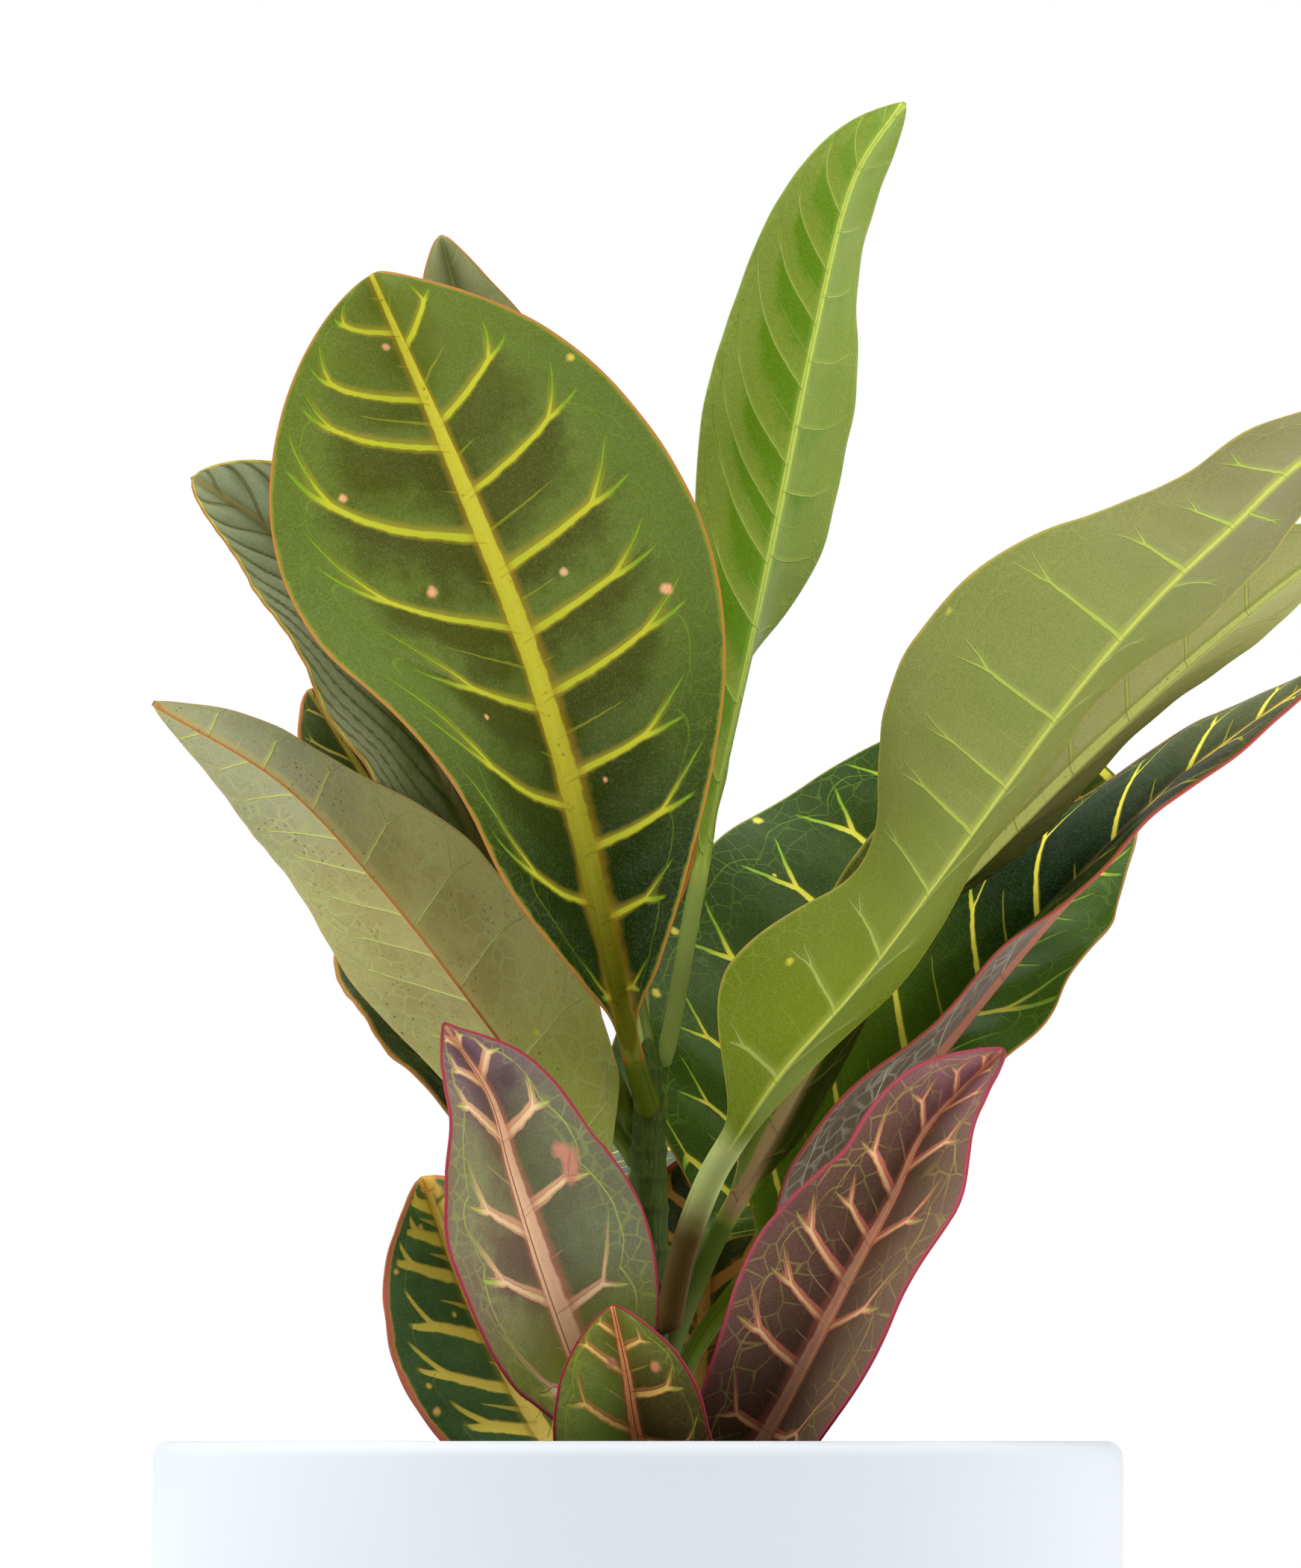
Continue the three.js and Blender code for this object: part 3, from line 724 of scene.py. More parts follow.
def leaf_grid(leaf):
    """The upper and under points of a leaf, row by row, and the maps that its paint follows."""
    at, forward, travelled, t, blade_start, length = midrib_line(leaf)
    face = np.array(leaf["face"], float)
    up = unit(face - (forward @ face)[:, None] * forward)
    side = np.cross(forward, up)
    widen, narrow = leaf["swell"]
    widest = widen / (widen + narrow)
    shape = t**widen * (1 - t) ** narrow / (widest**widen * (1 - widest) ** narrow)
    half = np.maximum(leaf["half"] * shape, np.where(t < 0.5, stalk_half, tip_half))
    rib = np.minimum(leaf["stalk"] + (rib_tip - leaf["stalk"]) * t, rib_share * half)
    out = column_shares(leaf, half, rib)
    columns = out.shape[1] - 1
    width = half[:, None]
    left_fold = np.radians(smooth_run(leaf["left"], t))
    right_fold = np.radians(smooth_run(leaf["right"], t))
    mean_fold = (left_fold + right_fold) / 2
    ridge = ridge_base + (ridge_tip - ridge_base) * t
    ridge = ridge + blade_thickness / np.maximum(np.cos(mean_fold), fold_limit)
    stalk_radius = leaf["stalk"] * (1 + (foot_flare - 1) * (1 - smooth(travelled / foot_reach)))
    opened = smooth(t / join_share)[:, None, None]
    halves = []
    for hand, fold in (("left", left_fold), ("right", right_fold)):
        sign = -1 if hand == "left" else 1
        away = side * (sign * np.cos(fold))[:, None] + up * np.sin(fold)[:, None]
        normal = -side * (sign * np.sin(fold))[:, None] + up * np.cos(fold)[:, None]
        phase, spacing = vein_phase(leaf, hand, t, out, half, length)
        lift = skin_lift(leaf, sign, t, out, half, rib, phase)
        crown = crown_share * rib[:, None] * (1 - smooth(out * width / rib[:, None]))
        upper = at[:, None] + away[:, None] * (out * width)[..., None] + normal[:, None] * lift[..., None]
        upper = upper + up[:, None] * crown[..., None]
        rim = np.clip((1 - out) * width / edge_thickness, 0, 1)
        thick = blade_thickness * np.sqrt(1 - (1 - rim) ** 2)
        cord = 0.5 + 0.5 * np.cos(np.pi * np.clip(out * width / rib[:, None], 0, 1))
        lower = upper - normal[:, None] * (thick * (1 - cord))[..., None]
        lower = lower - up[:, None] * (cord * (ridge[:, None] + crown))[..., None]
        turn = np.radians(90 - 90 * sign * np.arange(columns + 1) / columns)
        round_side = side[:, None] * np.cos(turn)[None, :, None] * stalk_radius[:, None, None]
        round_up = up[:, None] * np.sin(turn)[None, :, None] * stalk_radius[:, None, None]
        stalk_upper = at[:, None] + round_side + round_up
        stalk_lower = at[:, None] + round_side - round_up
        upper = stalk_upper + (upper - stalk_upper) * opened
        lower = stalk_lower + (lower - stalk_lower) * opened
        span = sign * out * width
        edge = (1 - out) * width
        halves.append((upper, lower, span, edge, phase + 40 * (sign > 0), spacing))
    along = np.where(travelled < blade_start, (travelled - blade_start) / 100, t)
    return halves, along, travelled - blade_start, columns


def seat_on_stem(points, travelled, foot_length):
    """Hollows the foot of a stalk to the stem's round, and keeps the stalk clear of the stem above it."""
    for row in np.flatnonzero(travelled - travelled[0] < foot_length):
        offset = points[row, :, :2] - [stem_x, 0]
        distance = np.linalg.norm(offset, axis=1)
        seat = stem_radius(points[row, :, 2]) - foot_sunk
        wanted = seat if row == 0 else np.maximum(distance, seat)
        points[row, :, :2] = [stem_x, 0] + offset * (wanted / distance)[:, None]
    return points


def leaf_faces(rows, around, across):
    """The faces of a leaf: those of the upper side, those of the under side, the foot and the tip."""
    row = np.arange(rows - 1)[:, None] * around
    here = np.arange(across)[None]
    upper_faces = np.stack([row + here, row + here + 1, row + around + here + 1, row + around + here], -1)
    under = (around - np.arange(across + 1)) % around
    under[across] = across
    low, high = under[:-1], under[1:]
    under_faces = np.stack([row + low, row + around + low, row + around + high, row + high], -1)
    faces = np.concatenate([upper_faces.reshape(-1, 4), under_faces.reshape(-1, 4)]).tolist()
    foot = list(range(around))[::-1]
    tip = [(rows - 1) * around + k for k in range(around)]
    return [*faces, foot, tip]


def lay_maps(mesh, halves, along, travelled, columns):
    """Lays a leaf's maps: its place in a flat sheet of both sides, how far along, how far across, and its
    veins.
    """
    left, right = halves

    def corners(first, second, third, fourth):
        """Values at the four corners of the upper faces and then, in their own order, of the under faces."""
        over = np.stack([first, second, third, fourth], -1)
        beneath = np.stack([first, fourth, third, second], -1)
        values = np.concatenate([over.ravel(), beneath.ravel()])
        return np.concatenate([values, np.zeros(len(mesh.loops) - len(values))])

    def spread(of_left, of_right):
        """Values at the face corners, from the columns of the two halves."""
        start = np.concatenate([of_left[:, :0:-1], of_right[:, :-1]], axis=1)
        end = np.concatenate([of_left[:, -2::-1], of_right[:, 1:]], axis=1)
        return corners(start[:-1], end[:-1], end[1:], start[1:])

    def layer(layer_name, u_values, v_values):
        """One of the leaf's maps, from its two values at every face corner."""
        layer_data = mesh.uv_layers.new(name=layer_name).data
        layer_data.foreach_set("uv", np.stack([u_values, v_values], -1).ravel().astype(np.float32))

    flat = np.ones((len(along), columns + 1))
    down = np.cumsum(np.concatenate([[0], np.diff(travelled)]))
    down = flat * (down / down[-1])[:, None]
    column = flat * np.arange(columns + 1)[None] / columns
    sheet_u = spread(0.5 - 0.5 * column, 0.5 + 0.5 * column)
    sheet_v = spread(down, down)
    upper_corners = 4 * (len(along) - 1) * 2 * columns
    under_half = np.arange(len(sheet_u)) >= upper_corners
    layer("OFBake", 0.01 + 0.47 * sheet_u + 0.51 * under_half, 0.01 + 0.98 * sheet_v)
    share_rows = flat * along[:, None]
    travel_rows = flat * travelled[:, None]
    layer("Along", spread(share_rows, share_rows), spread(travel_rows, travel_rows))
    layer("Span", spread(left[2], right[2]), spread(left[3], right[3]))
    layer("Veins", spread(left[4], right[4]), spread(left[5], right[5]))


def grow_leaf(name, leaf, upper_side, under_side):
    """Makes a leaf as one closed mesh, with an upper and an under side, in place of its plain solid."""
    halves, along, travelled, columns = leaf_grid(leaf)
    left, right = halves
    upper = np.concatenate([left[0][:, :0:-1], right[0]], axis=1)
    lower = np.concatenate([left[1][:, -2:0:-1], right[1][:, :-1]], axis=1)[:, ::-1]
    ring = np.concatenate([upper, lower], axis=1)
    ring = seat_on_stem(ring, travelled, min(foot_seat, -0.7 * travelled[0]))
    faces = leaf_faces(len(along), ring.shape[1], 2 * columns)
    piece = new_piece(name, ring.reshape(-1, 3), faces, [upper_side, under_side])
    sheet_faces = len(faces) - 2
    material = np.zeros(len(faces), np.int32)
    material[sheet_faces // 2 : sheet_faces] = 1
    piece.data.polygons.foreach_set("material_index", material)
    lay_maps(piece.data, halves, along, travelled, columns)
    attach(piece, "root")
    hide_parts(leaf["node"])


def new_group(name, numbers, colours=(), outputs=(), colour_outputs=()):
    """An empty shader node group with named inputs and outputs, and wires from its inputs."""
    tree = bpy.data.node_groups.new(name, "ShaderNodeTree")
    for label in numbers:
        tree.interface.new_socket(label, in_out="INPUT", socket_type="NodeSocketFloat")
    for label in colours:
        tree.interface.new_socket(label, in_out="INPUT", socket_type="NodeSocketColor")
    for label in outputs:
        tree.interface.new_socket(label, in_out="OUTPUT", socket_type="NodeSocketFloat")
    for label in colour_outputs:
        tree.interface.new_socket(label, in_out="OUTPUT", socket_type="NodeSocketColor")
    source = tree.nodes.new("NodeGroupInput")
    taken = {label: Wire(tree, source.outputs[label]) for label in (*numbers, *colours)}
    return tree, taken, tree.nodes.new("NodeGroupOutput")


def placed(tree, group, inputs):
    """The group as a node in a material, with its inputs set or joined; gives wires from its outputs."""
    node = tree.nodes.new("ShaderNodeGroup")
    node.node_tree = group
    for label, value in inputs.items():
        join(tree, value, node.inputs[label])
    return {socket.name: Wire(tree, socket) for socket in node.outputs}


def map_of(tree, name):
    """The two values of one of a leaf's maps."""
    place = add(tree, "ShaderNodeUVMap", uv_map=name)
    node = tree.nodes.new("ShaderNodeSeparateXYZ")
    join(tree, place, node.inputs[0])
    return Wire(tree, node.outputs[0]), Wire(tree, node.outputs[1])


def drawn(number, tree, offset, least, most):
    """A steady random value between two limits for each whole number."""
    share = add(tree, "ShaderNodeTexWhiteNoise", {"W": number + offset}, noise_dimensions="1D")
    return least + (most - least) * share


# The vein network: which parts of a blade are midrib, side vein, loop between veins, or fine net.
network_numbers = (
    "Vein width", "Vein reach", "Fork", "Loop rise", "Stub", "Wander", "Halo width", "Halo firmness",
    "Net size", "Net width", "Net start", "Left panels", "Rib left", "Rib right", "Rib tip", "Seed",
)
network_outputs = (
    "Vein", "Far", "Halo", "Loop", "Net", "Panel", "Rib", "Rib edge", "Rib line", "Groove",
    "Right", "Share", "Edge", "Along",
)
# How much single veins differ, and how a vein thins, forks and frays.
reach_range = (0.78, 1.12)
fork_range = (0.7, 1.3)
width_range = (0.8, 1.2)
halo_range = (0.7, 1.2)
stub_range = (0.1, 0.55)
fork_length = 0.26
vein_half = 0.5
vein_thinning = 0.16
fork_thinning = 0.65
raggedness = 0.6
vein_network, taken, result = new_group("leaf vein network", network_numbers, outputs=network_outputs)
tree = vein_network
place = millimetres(tree)
seed = taken["Seed"]
offset = add(tree, "ShaderNodeCombineXYZ", {0: seed * 7, 1: seed * 3, 2: seed})
shifted = add(tree, "ShaderNodeVectorMath", {0: place, 1: offset}, operation="ADD")
along, _ = map_of(tree, "Along")
span, edge = map_of(tree, "Span")
phase, spacing = map_of(tree, "Veins")
from_rib = abs(span)
share = from_rib / (from_rib + edge).larger(0.01)
broad = noise(tree, shifted, 9, detail=2)
fine = noise(tree, shifted, 1.6, detail=2)
count = phase + taken["Wander"] * broad * (share + 0.2) + 0.02 * fine
vein = count.rounded()
off = count - vein
forward = (off * 1000).rising(-1, 1)
reach = taken["Vein reach"] * drawn(vein, tree, seed, *reach_range)
out_along = (share / reach).smaller(1)
past = ((share - reach) / fork_length).larger(0).smaller(1)
parting = taken["Fork"] * past * drawn(vein, tree, seed + 11, *fork_range)
distance = abs(off - parting).smaller(abs(off + 0.5 * parting)) * spacing
half_width = taken["Vein width"] * (vein_half - vein_thinning * out_along) * (1 - fork_thinning * past)
half_width = half_width * drawn(vein, tree, seed + 31, *width_range) * (1 + raggedness * fine)
reached = past.falling(0.75, 1.0)
vein_mask = distance.falling(half_width * 0.75, half_width * 1.3 + 0.06) * reached
halo_width = taken["Halo width"] * (1 - 0.5 * out_along) * drawn(vein, tree, seed + 71, *halo_range)
halo_width = halo_width * (0.4 + 0.6 * forward) * (1 + raggedness * fine)
halo_near = half_width + halo_width * taken["Halo firmness"]
halo_mask = distance.falling(halo_near, half_width + halo_width + 0.08) * past.falling(0.2, 0.9)
fraction = add(tree, "ShaderNodeMath", {0: count}, operation="FRACT")
bow = fraction * (1 - fraction) * 4
loop_share = taken["Vein reach"] + 0.1 + taken["Loop rise"] * bow + 0.12 * broad
loop_distance = abs(share - loop_share) * (from_rib + edge)
loop_mask = loop_distance.falling(0.06, 0.2) * broad.rising(-0.25, -0.02)
between = (count + 0.5).rounded()
stub_off = abs(count + 0.5 - between) * spacing
stub_reach = drawn(between, tree, seed + 57, *stub_range)
stub_width = taken["Vein width"] * 0.25 * (1 - share / stub_reach).larger(0)
stub_mask = stub_off.falling(stub_width, stub_width + 0.12) * share.falling(stub_reach - 0.04, stub_reach)
stub_mask = stub_mask * taken["Stub"]
net_cells = {"Vector": shifted, "Scale": 1 / taken["Net size"]}
cell_edge = add(tree, "ShaderNodeTexVoronoi", net_cells, feature="DISTANCE_TO_EDGE")
net_distance = cell_edge * taken["Net size"]
net_mask = net_distance.falling(taken["Net width"] * 0.5, taken["Net width"] * 2)
net_mask = net_mask * share.rising(taken["Net start"], taken["Net start"] + 0.35) * broad.rising(-0.25, 0.1)
right = (span * 1000).rising(-1, 1)
# The panel ramp rises across each panel from the vein nearer the stalk to the next, on the inner part of the
# blade; the paint turns it into painted shade and sheen of the skin raised between the veins.
panel_shade_mask = fraction * (share + 0.1 * broad).falling(0.45, 0.85)
panel_shade_mask = panel_shade_mask * (taken["Left panels"] * (1 - right) + right)
rib_width = taken["Rib left"] * (1 - right) + taken["Rib right"] * right
rib_width = rib_width + (taken["Rib tip"] - rib_width) * along.rising(0.1, 1.12)
ragged_width = rib_width * (1 + 0.35 * fine)
for label, value in {
    "Vein": vein_mask.larger(stub_mask),
    "Far": past.rising(0.0, 0.6),
    "Halo": halo_mask,
    "Loop": loop_mask,
    "Net": net_mask,
    "Panel": panel_shade_mask,
    "Rib": from_rib.falling(ragged_width * 0.85, ragged_width * 1.06 + 0.06),
    "Rib edge": from_rib.falling(ragged_width, ragged_width * 1.5 + 0.7),
    "Rib line": abs(from_rib - 0.3).falling(0.05, 0.16),
    "Groove": from_rib.falling(0.06, 0.17),
    "Right": right,
    "Share": share,
    "Edge": edge,
    "Along": along,
}.items():
    join(tree, value, result.inputs[label])


# The blade's paint: its colours, laid over each other from the ground up, with their gloss and relief.
paint_colours = (
    "Ground", "Patches", "Outer ground", "Right ground", "Base ground", "Tip ground", "Vein", "Vein end",
    "Halo", "Rib", "Rib base", "Rib edge", "Groove", "Flecks", "Inner margin", "Margin", "Stalk", "Foot",
)
mask_names = (
    "Vein", "Far", "Halo", "Loop", "Net", "Panel", "Rib", "Rib edge", "Rib line", "Groove", "Right",
)
way_names = ("Share", "Edge", "Along")
paint_numbers = (
    "Panel amount", "Outer amount", "Right amount", "Base reach", "Tip reach", "Halo amount", "Net amount",
    "Loop amount", "Line amount", "Groove amount", "Fleck amount", "Speck amount", "Inner margin width",
    "Margin width", "Relief", "Dullness", "Seed",
)
taken_numbers = (*[f"{label} mask" for label in mask_names], *way_names, *paint_numbers)
# Strengths of the layers, heights of the relief in millimetres, and how much each part dulls the gloss.
grain_light = (1, 1, 0.7, 1)
grain_light_amount = 0.05
grain_dark = (0, 0.01, 0, 1)
grain_dark_amount = 0.2
dust_colour = linear(206, 208, 190)
dust_amount = 0.16
rib_edge_amount = 0.6
inner_margin_amount = 0.8
tip_fade = 0.25
vein_relief = 0.16
loop_relief = 0.06
net_relief = 0.035
halo_relief = 0.05
mottle_relief = 0.05
grain_relief = 0.012
mottle_dulling = 0.12
vein_dulling = 0.08
rib_dulling = 0.1
blade_paint, taken, result = new_group(
    "leaf blade paint",
    taken_numbers,
    paint_colours,
    outputs=("Roughness", "Height"),
    colour_outputs=("Colour",),
)
tree = blade_paint
place = millimetres(tree)
seed = taken["Seed"]
offset = add(tree, "ShaderNodeCombineXYZ", {0: seed * 5, 1: seed, 2: seed * 9})
shifted = add(tree, "ShaderNodeVectorMath", {0: place, 1: offset}, operation="ADD")
cloud = noise(tree, shifted, 13, detail=3)
mottle = noise(tree, shifted, 3.2, detail=4, roughness=0.65)
grain = noise(tree, shifted, 0.32, detail=2, roughness=0.7)
share, along, edge = taken["Share"], taken["Along"], taken["Edge"]
# The panel ramp paints shade and sheen of the raised skin between the veins, over the blade's own cloudy and
# mottled tone.
panel = (taken["Panel mask"] - 0.4) * taken["Panel amount"]
patches = (cloud * 1.2 + mottle * 0.8 + panel).rising(-0.3, 0.3)
colour = mixed(tree, patches, taken["Ground"], taken["Patches"])
outer = (share + mottle * 0.3).rising(0.5, 1.0) * taken["Outer amount"]
colour = mixed(tree, outer, colour, taken["Outer ground"])
colour = mixed(tree, taken["Right mask"] * taken["Right amount"], colour, taken["Right ground"])
base = (along + mottle * 0.1).falling(taken["Base reach"] * 0.35, taken["Base reach"])
colour = mixed(tree, base, colour, taken["Base ground"])
tip = (along + mottle * 0.15).rising(taken["Tip reach"], taken["Tip reach"] + tip_fade)
colour = mixed(tree, tip, colour, taken["Tip ground"])
colour = mixed(tree, grain.rising(-0.1, 0.35) * grain_light_amount, colour, grain_light)
colour = mixed(tree, grain.falling(-0.35, 0.1) * grain_dark_amount, colour, grain_dark)
colour = mixed(tree, taken["Net mask"] * taken["Net amount"], colour, taken["Vein end"])
halo = taken["Halo mask"] * taken["Halo amount"] * (1 - 0.25 * grain.rising(0, 0.3))
colour = mixed(tree, halo, colour, taken["Halo"])
colour = mixed(tree, taken["Loop mask"] * taken["Loop amount"], colour, taken["Vein end"])
vein_colour = mixed(tree, taken["Far mask"], taken["Vein"], taken["Vein end"])
colour = mixed(tree, taken["Vein mask"], colour, vein_colour)
colour = mixed(tree, taken["Rib edge mask"] * rib_edge_amount, colour, taken["Rib edge"])
rib_colour = mixed(tree, along.rising(0.0, 0.5), taken["Rib base"], taken["Rib"])
rib_colour = mixed(tree, grain.rising(0, 0.35) * 0.12, rib_colour, taken["Rib edge"])
colour = mixed(tree, taken["Rib mask"], colour, rib_colour)
colour = mixed(tree, taken["Rib line mask"] * taken["Line amount"], colour, taken["Vein"])
cells = add(tree, "ShaderNodeTexVoronoi", {"Vector": shifted, "Scale": 0.8})
fleck = cells.falling(0.12, 0.3) * mottle.rising(-0.02, 0.2) * taken["Rib mask"]
colour = mixed(tree, fleck * taken["Fleck amount"], colour, taken["Flecks"])
speck = cells.falling(0.08, 0.26) * cloud.rising(-0.1, 0.2) * taken["Speck amount"]
colour = mixed(tree, speck, colour, taken["Flecks"])
colour = mixed(tree, taken["Groove mask"] * taken["Groove amount"], colour, taken["Groove"])
dust = add(tree, "ShaderNodeTexVoronoi", {"Vector": shifted, "Scale": 0.55}).falling(0.03, 0.07)
colour = mixed(tree, dust * dust_amount, colour, dust_colour)
wavering = taken["Inner margin width"] * (1 + mottle * 3)
inner = edge.falling(taken["Margin width"], taken["Margin width"] + wavering)
colour = mixed(tree, inner * inner_margin_amount, colour, taken["Inner margin"])
margin_width = taken["Margin width"] * (1 + mottle * 1.6)
colour = mixed(tree, edge.falling(margin_width * 0.7, margin_width * 1.2), colour, taken["Margin"])
colour = mixed(tree, along.falling(-0.01, 0.03), colour, taken["Stalk"])
foot = (along + mottle * 0.02).falling(-0.16, -0.06)
colour = mixed(tree, foot, colour, taken["Foot"])
join(tree, colour, result.inputs["Colour"])
dull = taken["Dullness"] + mottle_dulling * mottle
dull = dull + vein_dulling * taken["Vein mask"] + rib_dulling * taken["Rib mask"]
join(tree, dull, result.inputs["Roughness"])
lines = taken["Vein mask"] * vein_relief + taken["Loop mask"] * loop_relief + taken["Net mask"] * net_relief
height = (lines + taken["Halo mask"] * halo_relief) * taken["Relief"]
height = height + mottle * mottle_relief + grain * grain_relief
join(tree, height, result.inputs["Height"])


def blade_spot(leaf, t, out):
    """A place on a blade: a share of its length, and a share of one half's width, below 0 on the left."""
    halves, along_rows, _, _ = leaf_grid(leaf)
    upper, _, across, to_edge, _, _ = halves[out > 0]
    row = int(np.argmin(np.abs(along_rows - t)))
    outward = np.abs(across[row]) / (np.abs(across[row]) + to_edge[row])
    return upper[row, int(np.argmin(np.abs(outward - abs(out))))]


def painted(name, network, paint, seed, leaf=None, dabs=(), sheen=0.075):
    """A blade's finish: its vein network, its paint, and dabs of colour on it.

    A dab is a share of the length, a share of the half width, a size in millimetres and a colour.
    """
    material, tree, shader = new_material(name, 0.4, Specular_IOR_Level=sheen)
    masks = placed(tree, vein_network, {**network, "Seed": seed})
    given = {f"{label} mask": masks[label] for label in mask_names}
    given.update({label: masks[label] for label in way_names})
    colours = {label: linear(*paint[label]) for label in paint_colours}
    done = placed(tree, blade_paint, {**given, **paint, **colours, "Seed": seed})
    colour = done["Colour"]
    place = millimetres(tree)
    for t, out, size, dab_colour in dabs:
        middle = tuple(float(value) for value in blade_spot(leaf, t, out))
        away = add(tree, "ShaderNodeVectorMath", {0: place, 1: middle}, operation="DISTANCE", output="Value")
        away = away + noise(tree, place, 1.8, detail=3, roughness=0.6) * size * 1.2
        colour = mixed(tree, away.falling(size * 0.3, size * 1.1), colour, linear(*dab_colour))
    join(tree, colour, shader.inputs["Base Color"])
    join(tree, done["Roughness"], shader.inputs["Roughness"])
    raised(tree, shader, 1.0, done["Height"])
    return material


# What sets a leaf, in millimetres and degrees: the path from the stem to the tip, the point on it where the
# blade begins, and the way the upper side faces. Half is the widest half, swell how it widens and narrows,
# left and right the folds of the halves, camber their arch, and wave the height, count and start of the
# edge's waves. Veins are shares of the length, sweep is their lean and bend, and quilt how far the skin
# between them stands up. A leaf's colours are red, green and blue, from 0 to 255.
big_front_leaf = {
    "node": "leaf_big_front_left", "base": 1, "face": (-0.1, -1, 0.1),
    "path": [(1.4, -3, 178), (-0.5, -7, 184.5), (-4.5, -13, 200), (-10.5, -20, 224.5),
             (-17.5, -25, 247), (-27, -28, 271), (-38, -25, 296.5)],
    "half": 30.5, "swell": (1.15, 0.7), "left": (65, 59, 50, 10, 15), "right": (47, 23, 6, 25, 70),
    "camber": 0.05, "wave": (1.0, 3, 0.4), "stalk": 1.6,
    "veins": {
        "left": (0.08, 0.2, 0.32, 0.44, 0.54, 0.655, 0.77, 0.83, 0.92),
        "right": (0.09, 0.18, 0.265, 0.355, 0.455, 0.53, 0.61, 0.71, 0.8, 0.9),
    },
    "sweep": {"left": (0.45, 0.7), "right": (0.25, 0.2)},
    "quilt": 0.9,
}
front_network = {
    "Vein width": 0.95, "Vein reach": 0.61, "Fork": 0.3, "Loop rise": 0.1, "Stub": 0.3, "Wander": 0.1,
    "Halo width": 1.5, "Halo firmness": 0.0, "Net size": 3.2, "Net width": 0.08, "Net start": 0.55,
    "Left panels": 1.0, "Rib left": 2.6, "Rib right": 2.6, "Rib tip": 0.5,
}
# Ground against Patches, set by Panel amount, paints each panel pale beside the vein nearer the stalk, a
# painted sheen on the raised skin, and dark beside the next vein, a painted shade. Base ground is a
# near-black green laid over the blade toward its stalk, painted shade on the lower blade.
front_paint = {
    "Ground": (100, 116, 42), "Patches": (74, 80, 16), "Outer ground": (87, 107, 35),
    "Right ground": (77, 89, 21), "Base ground": (27, 47, 0), "Tip ground": (102, 116, 36),
    "Vein": (190, 192, 50), "Vein end": (122, 156, 38), "Halo": (164, 150, 46), "Rib": (202, 195, 58),
    "Rib base": (86, 88, 2), "Rib edge": (166, 136, 40), "Groove": (150, 140, 50),
    "Flecks": (134, 62, 30), "Inner margin": (142, 144, 50), "Margin": (192, 122, 52),
    "Stalk": (84, 98, 14), "Foot": (92, 108, 30),
    "Panel amount": 0.9, "Outer amount": 0.6, "Right amount": 0.0, "Base reach": 0.58, "Tip reach": 0.74,
    "Halo amount": 0.7, "Net amount": 0.14, "Loop amount": 0.3, "Line amount": 0.0, "Groove amount": 0.0,
    "Fleck amount": 0.8, "Speck amount": 0.0, "Inner margin width": 0.6, "Margin width": 0.28,
    "Relief": -1.0, "Dullness": 0.36,
}
pale_pink = (232, 172, 120)
front_dabs = [
    (0.621, -0.4, 1.0, pale_pink), (0.537, 0.75, 1.1, pale_pink), (0.758, -0.6, 0.8, pale_pink),
    (0.908, -0.15, 0.7, pale_pink), (0.588, 0.3, 0.8, (220, 180, 130)), (0.462, -0.52, 0.6, pale_pink),
    (0.346, 0.28, 0.6, pale_pink), (0.796, 0.95, 0.8, (210, 190, 70)),
]
front_upper = painted("front_leaf_upper", front_network, front_paint, 1, big_front_leaf, front_dabs)
under_network = {**front_network, "Vein width": 0.5, "Halo width": 0.6, "Rib left": 1.2, "Rib right": 1.2}
under_paint = {
    **front_paint,
    "Ground": (146, 142, 92), "Patches": (138, 140, 78), "Outer ground": (152, 148, 98),
    "Right ground": (142, 142, 88), "Base ground": (116, 122, 52), "Tip ground": (162, 156, 116),
    "Vein": (170, 172, 96), "Vein end": (156, 156, 98), "Halo": (156, 152, 90), "Rib": (184, 180, 90),
    "Rib base": (176, 180, 88), "Rib edge": (160, 158, 76), "Margin": (168, 116, 66),
    "Inner margin": (164, 156, 84),
    "Panel amount": 0.3, "Right amount": 0.3, "Tip reach": 0.8, "Halo amount": 0.4, "Net amount": 0.3,
    "Fleck amount": 0.2, "Relief": 1.0, "Dullness": 0.55,
}
olive_under = painted("olive_leaf_under", under_network, under_paint, 2)
grow_leaf("big_front_leaf", big_front_leaf, front_upper, olive_under)


# Young top leaf
# The youngest full blade, still soft and light green, folded along its midrib with its under side in front.
# Its skin is raised between the veins, and each panel is painted from pale to deep green, a painted shade of
# that raised skin.
young_top_leaf = {
    "node": "leaf_young_top", "base": 3, "face": (0.15, 1, 0.1),
    "path": [(3.7, 0.8, 185), (5, 1, 190.5), (6, 1.5, 196), (8.5, 2, 210), (11, 4, 220), (15.5, 8, 240),
             (20.5, 11, 264.5), (26, 11, 292), (31.5, 8, 314), (39, 2, 325.5)],
    "half": 14.5, "swell": (1.1, 0.8), "left": (95, 104, 64, 75, 70), "right": (49, 34, 14, 8, 23),
    "camber": 0.06, "wave": (0.8, 4, 1.0), "stalk": 1.3,
    "veins": {
        "left": (0.06, 0.15, 0.24, 0.33, 0.42, 0.5, 0.58, 0.66, 0.74, 0.82, 0.9),
        "right": (0.04, 0.13, 0.23, 0.33, 0.41, 0.465, 0.53, 0.625, 0.705, 0.77, 0.84, 0.9),
    },
    "sweep": {"left": (0.1, 0.3), "right": (1.0, 0.8)},
    "quilt": 0.3,
}
young_network = {
    **front_network, "Vein width": 0.25, "Vein reach": 0.75, "Fork": 0.15, "Halo width": 0.8,
    "Left panels": 0.4, "Rib left": 0.55, "Rib right": 0.55, "Rib tip": 0.25,
}
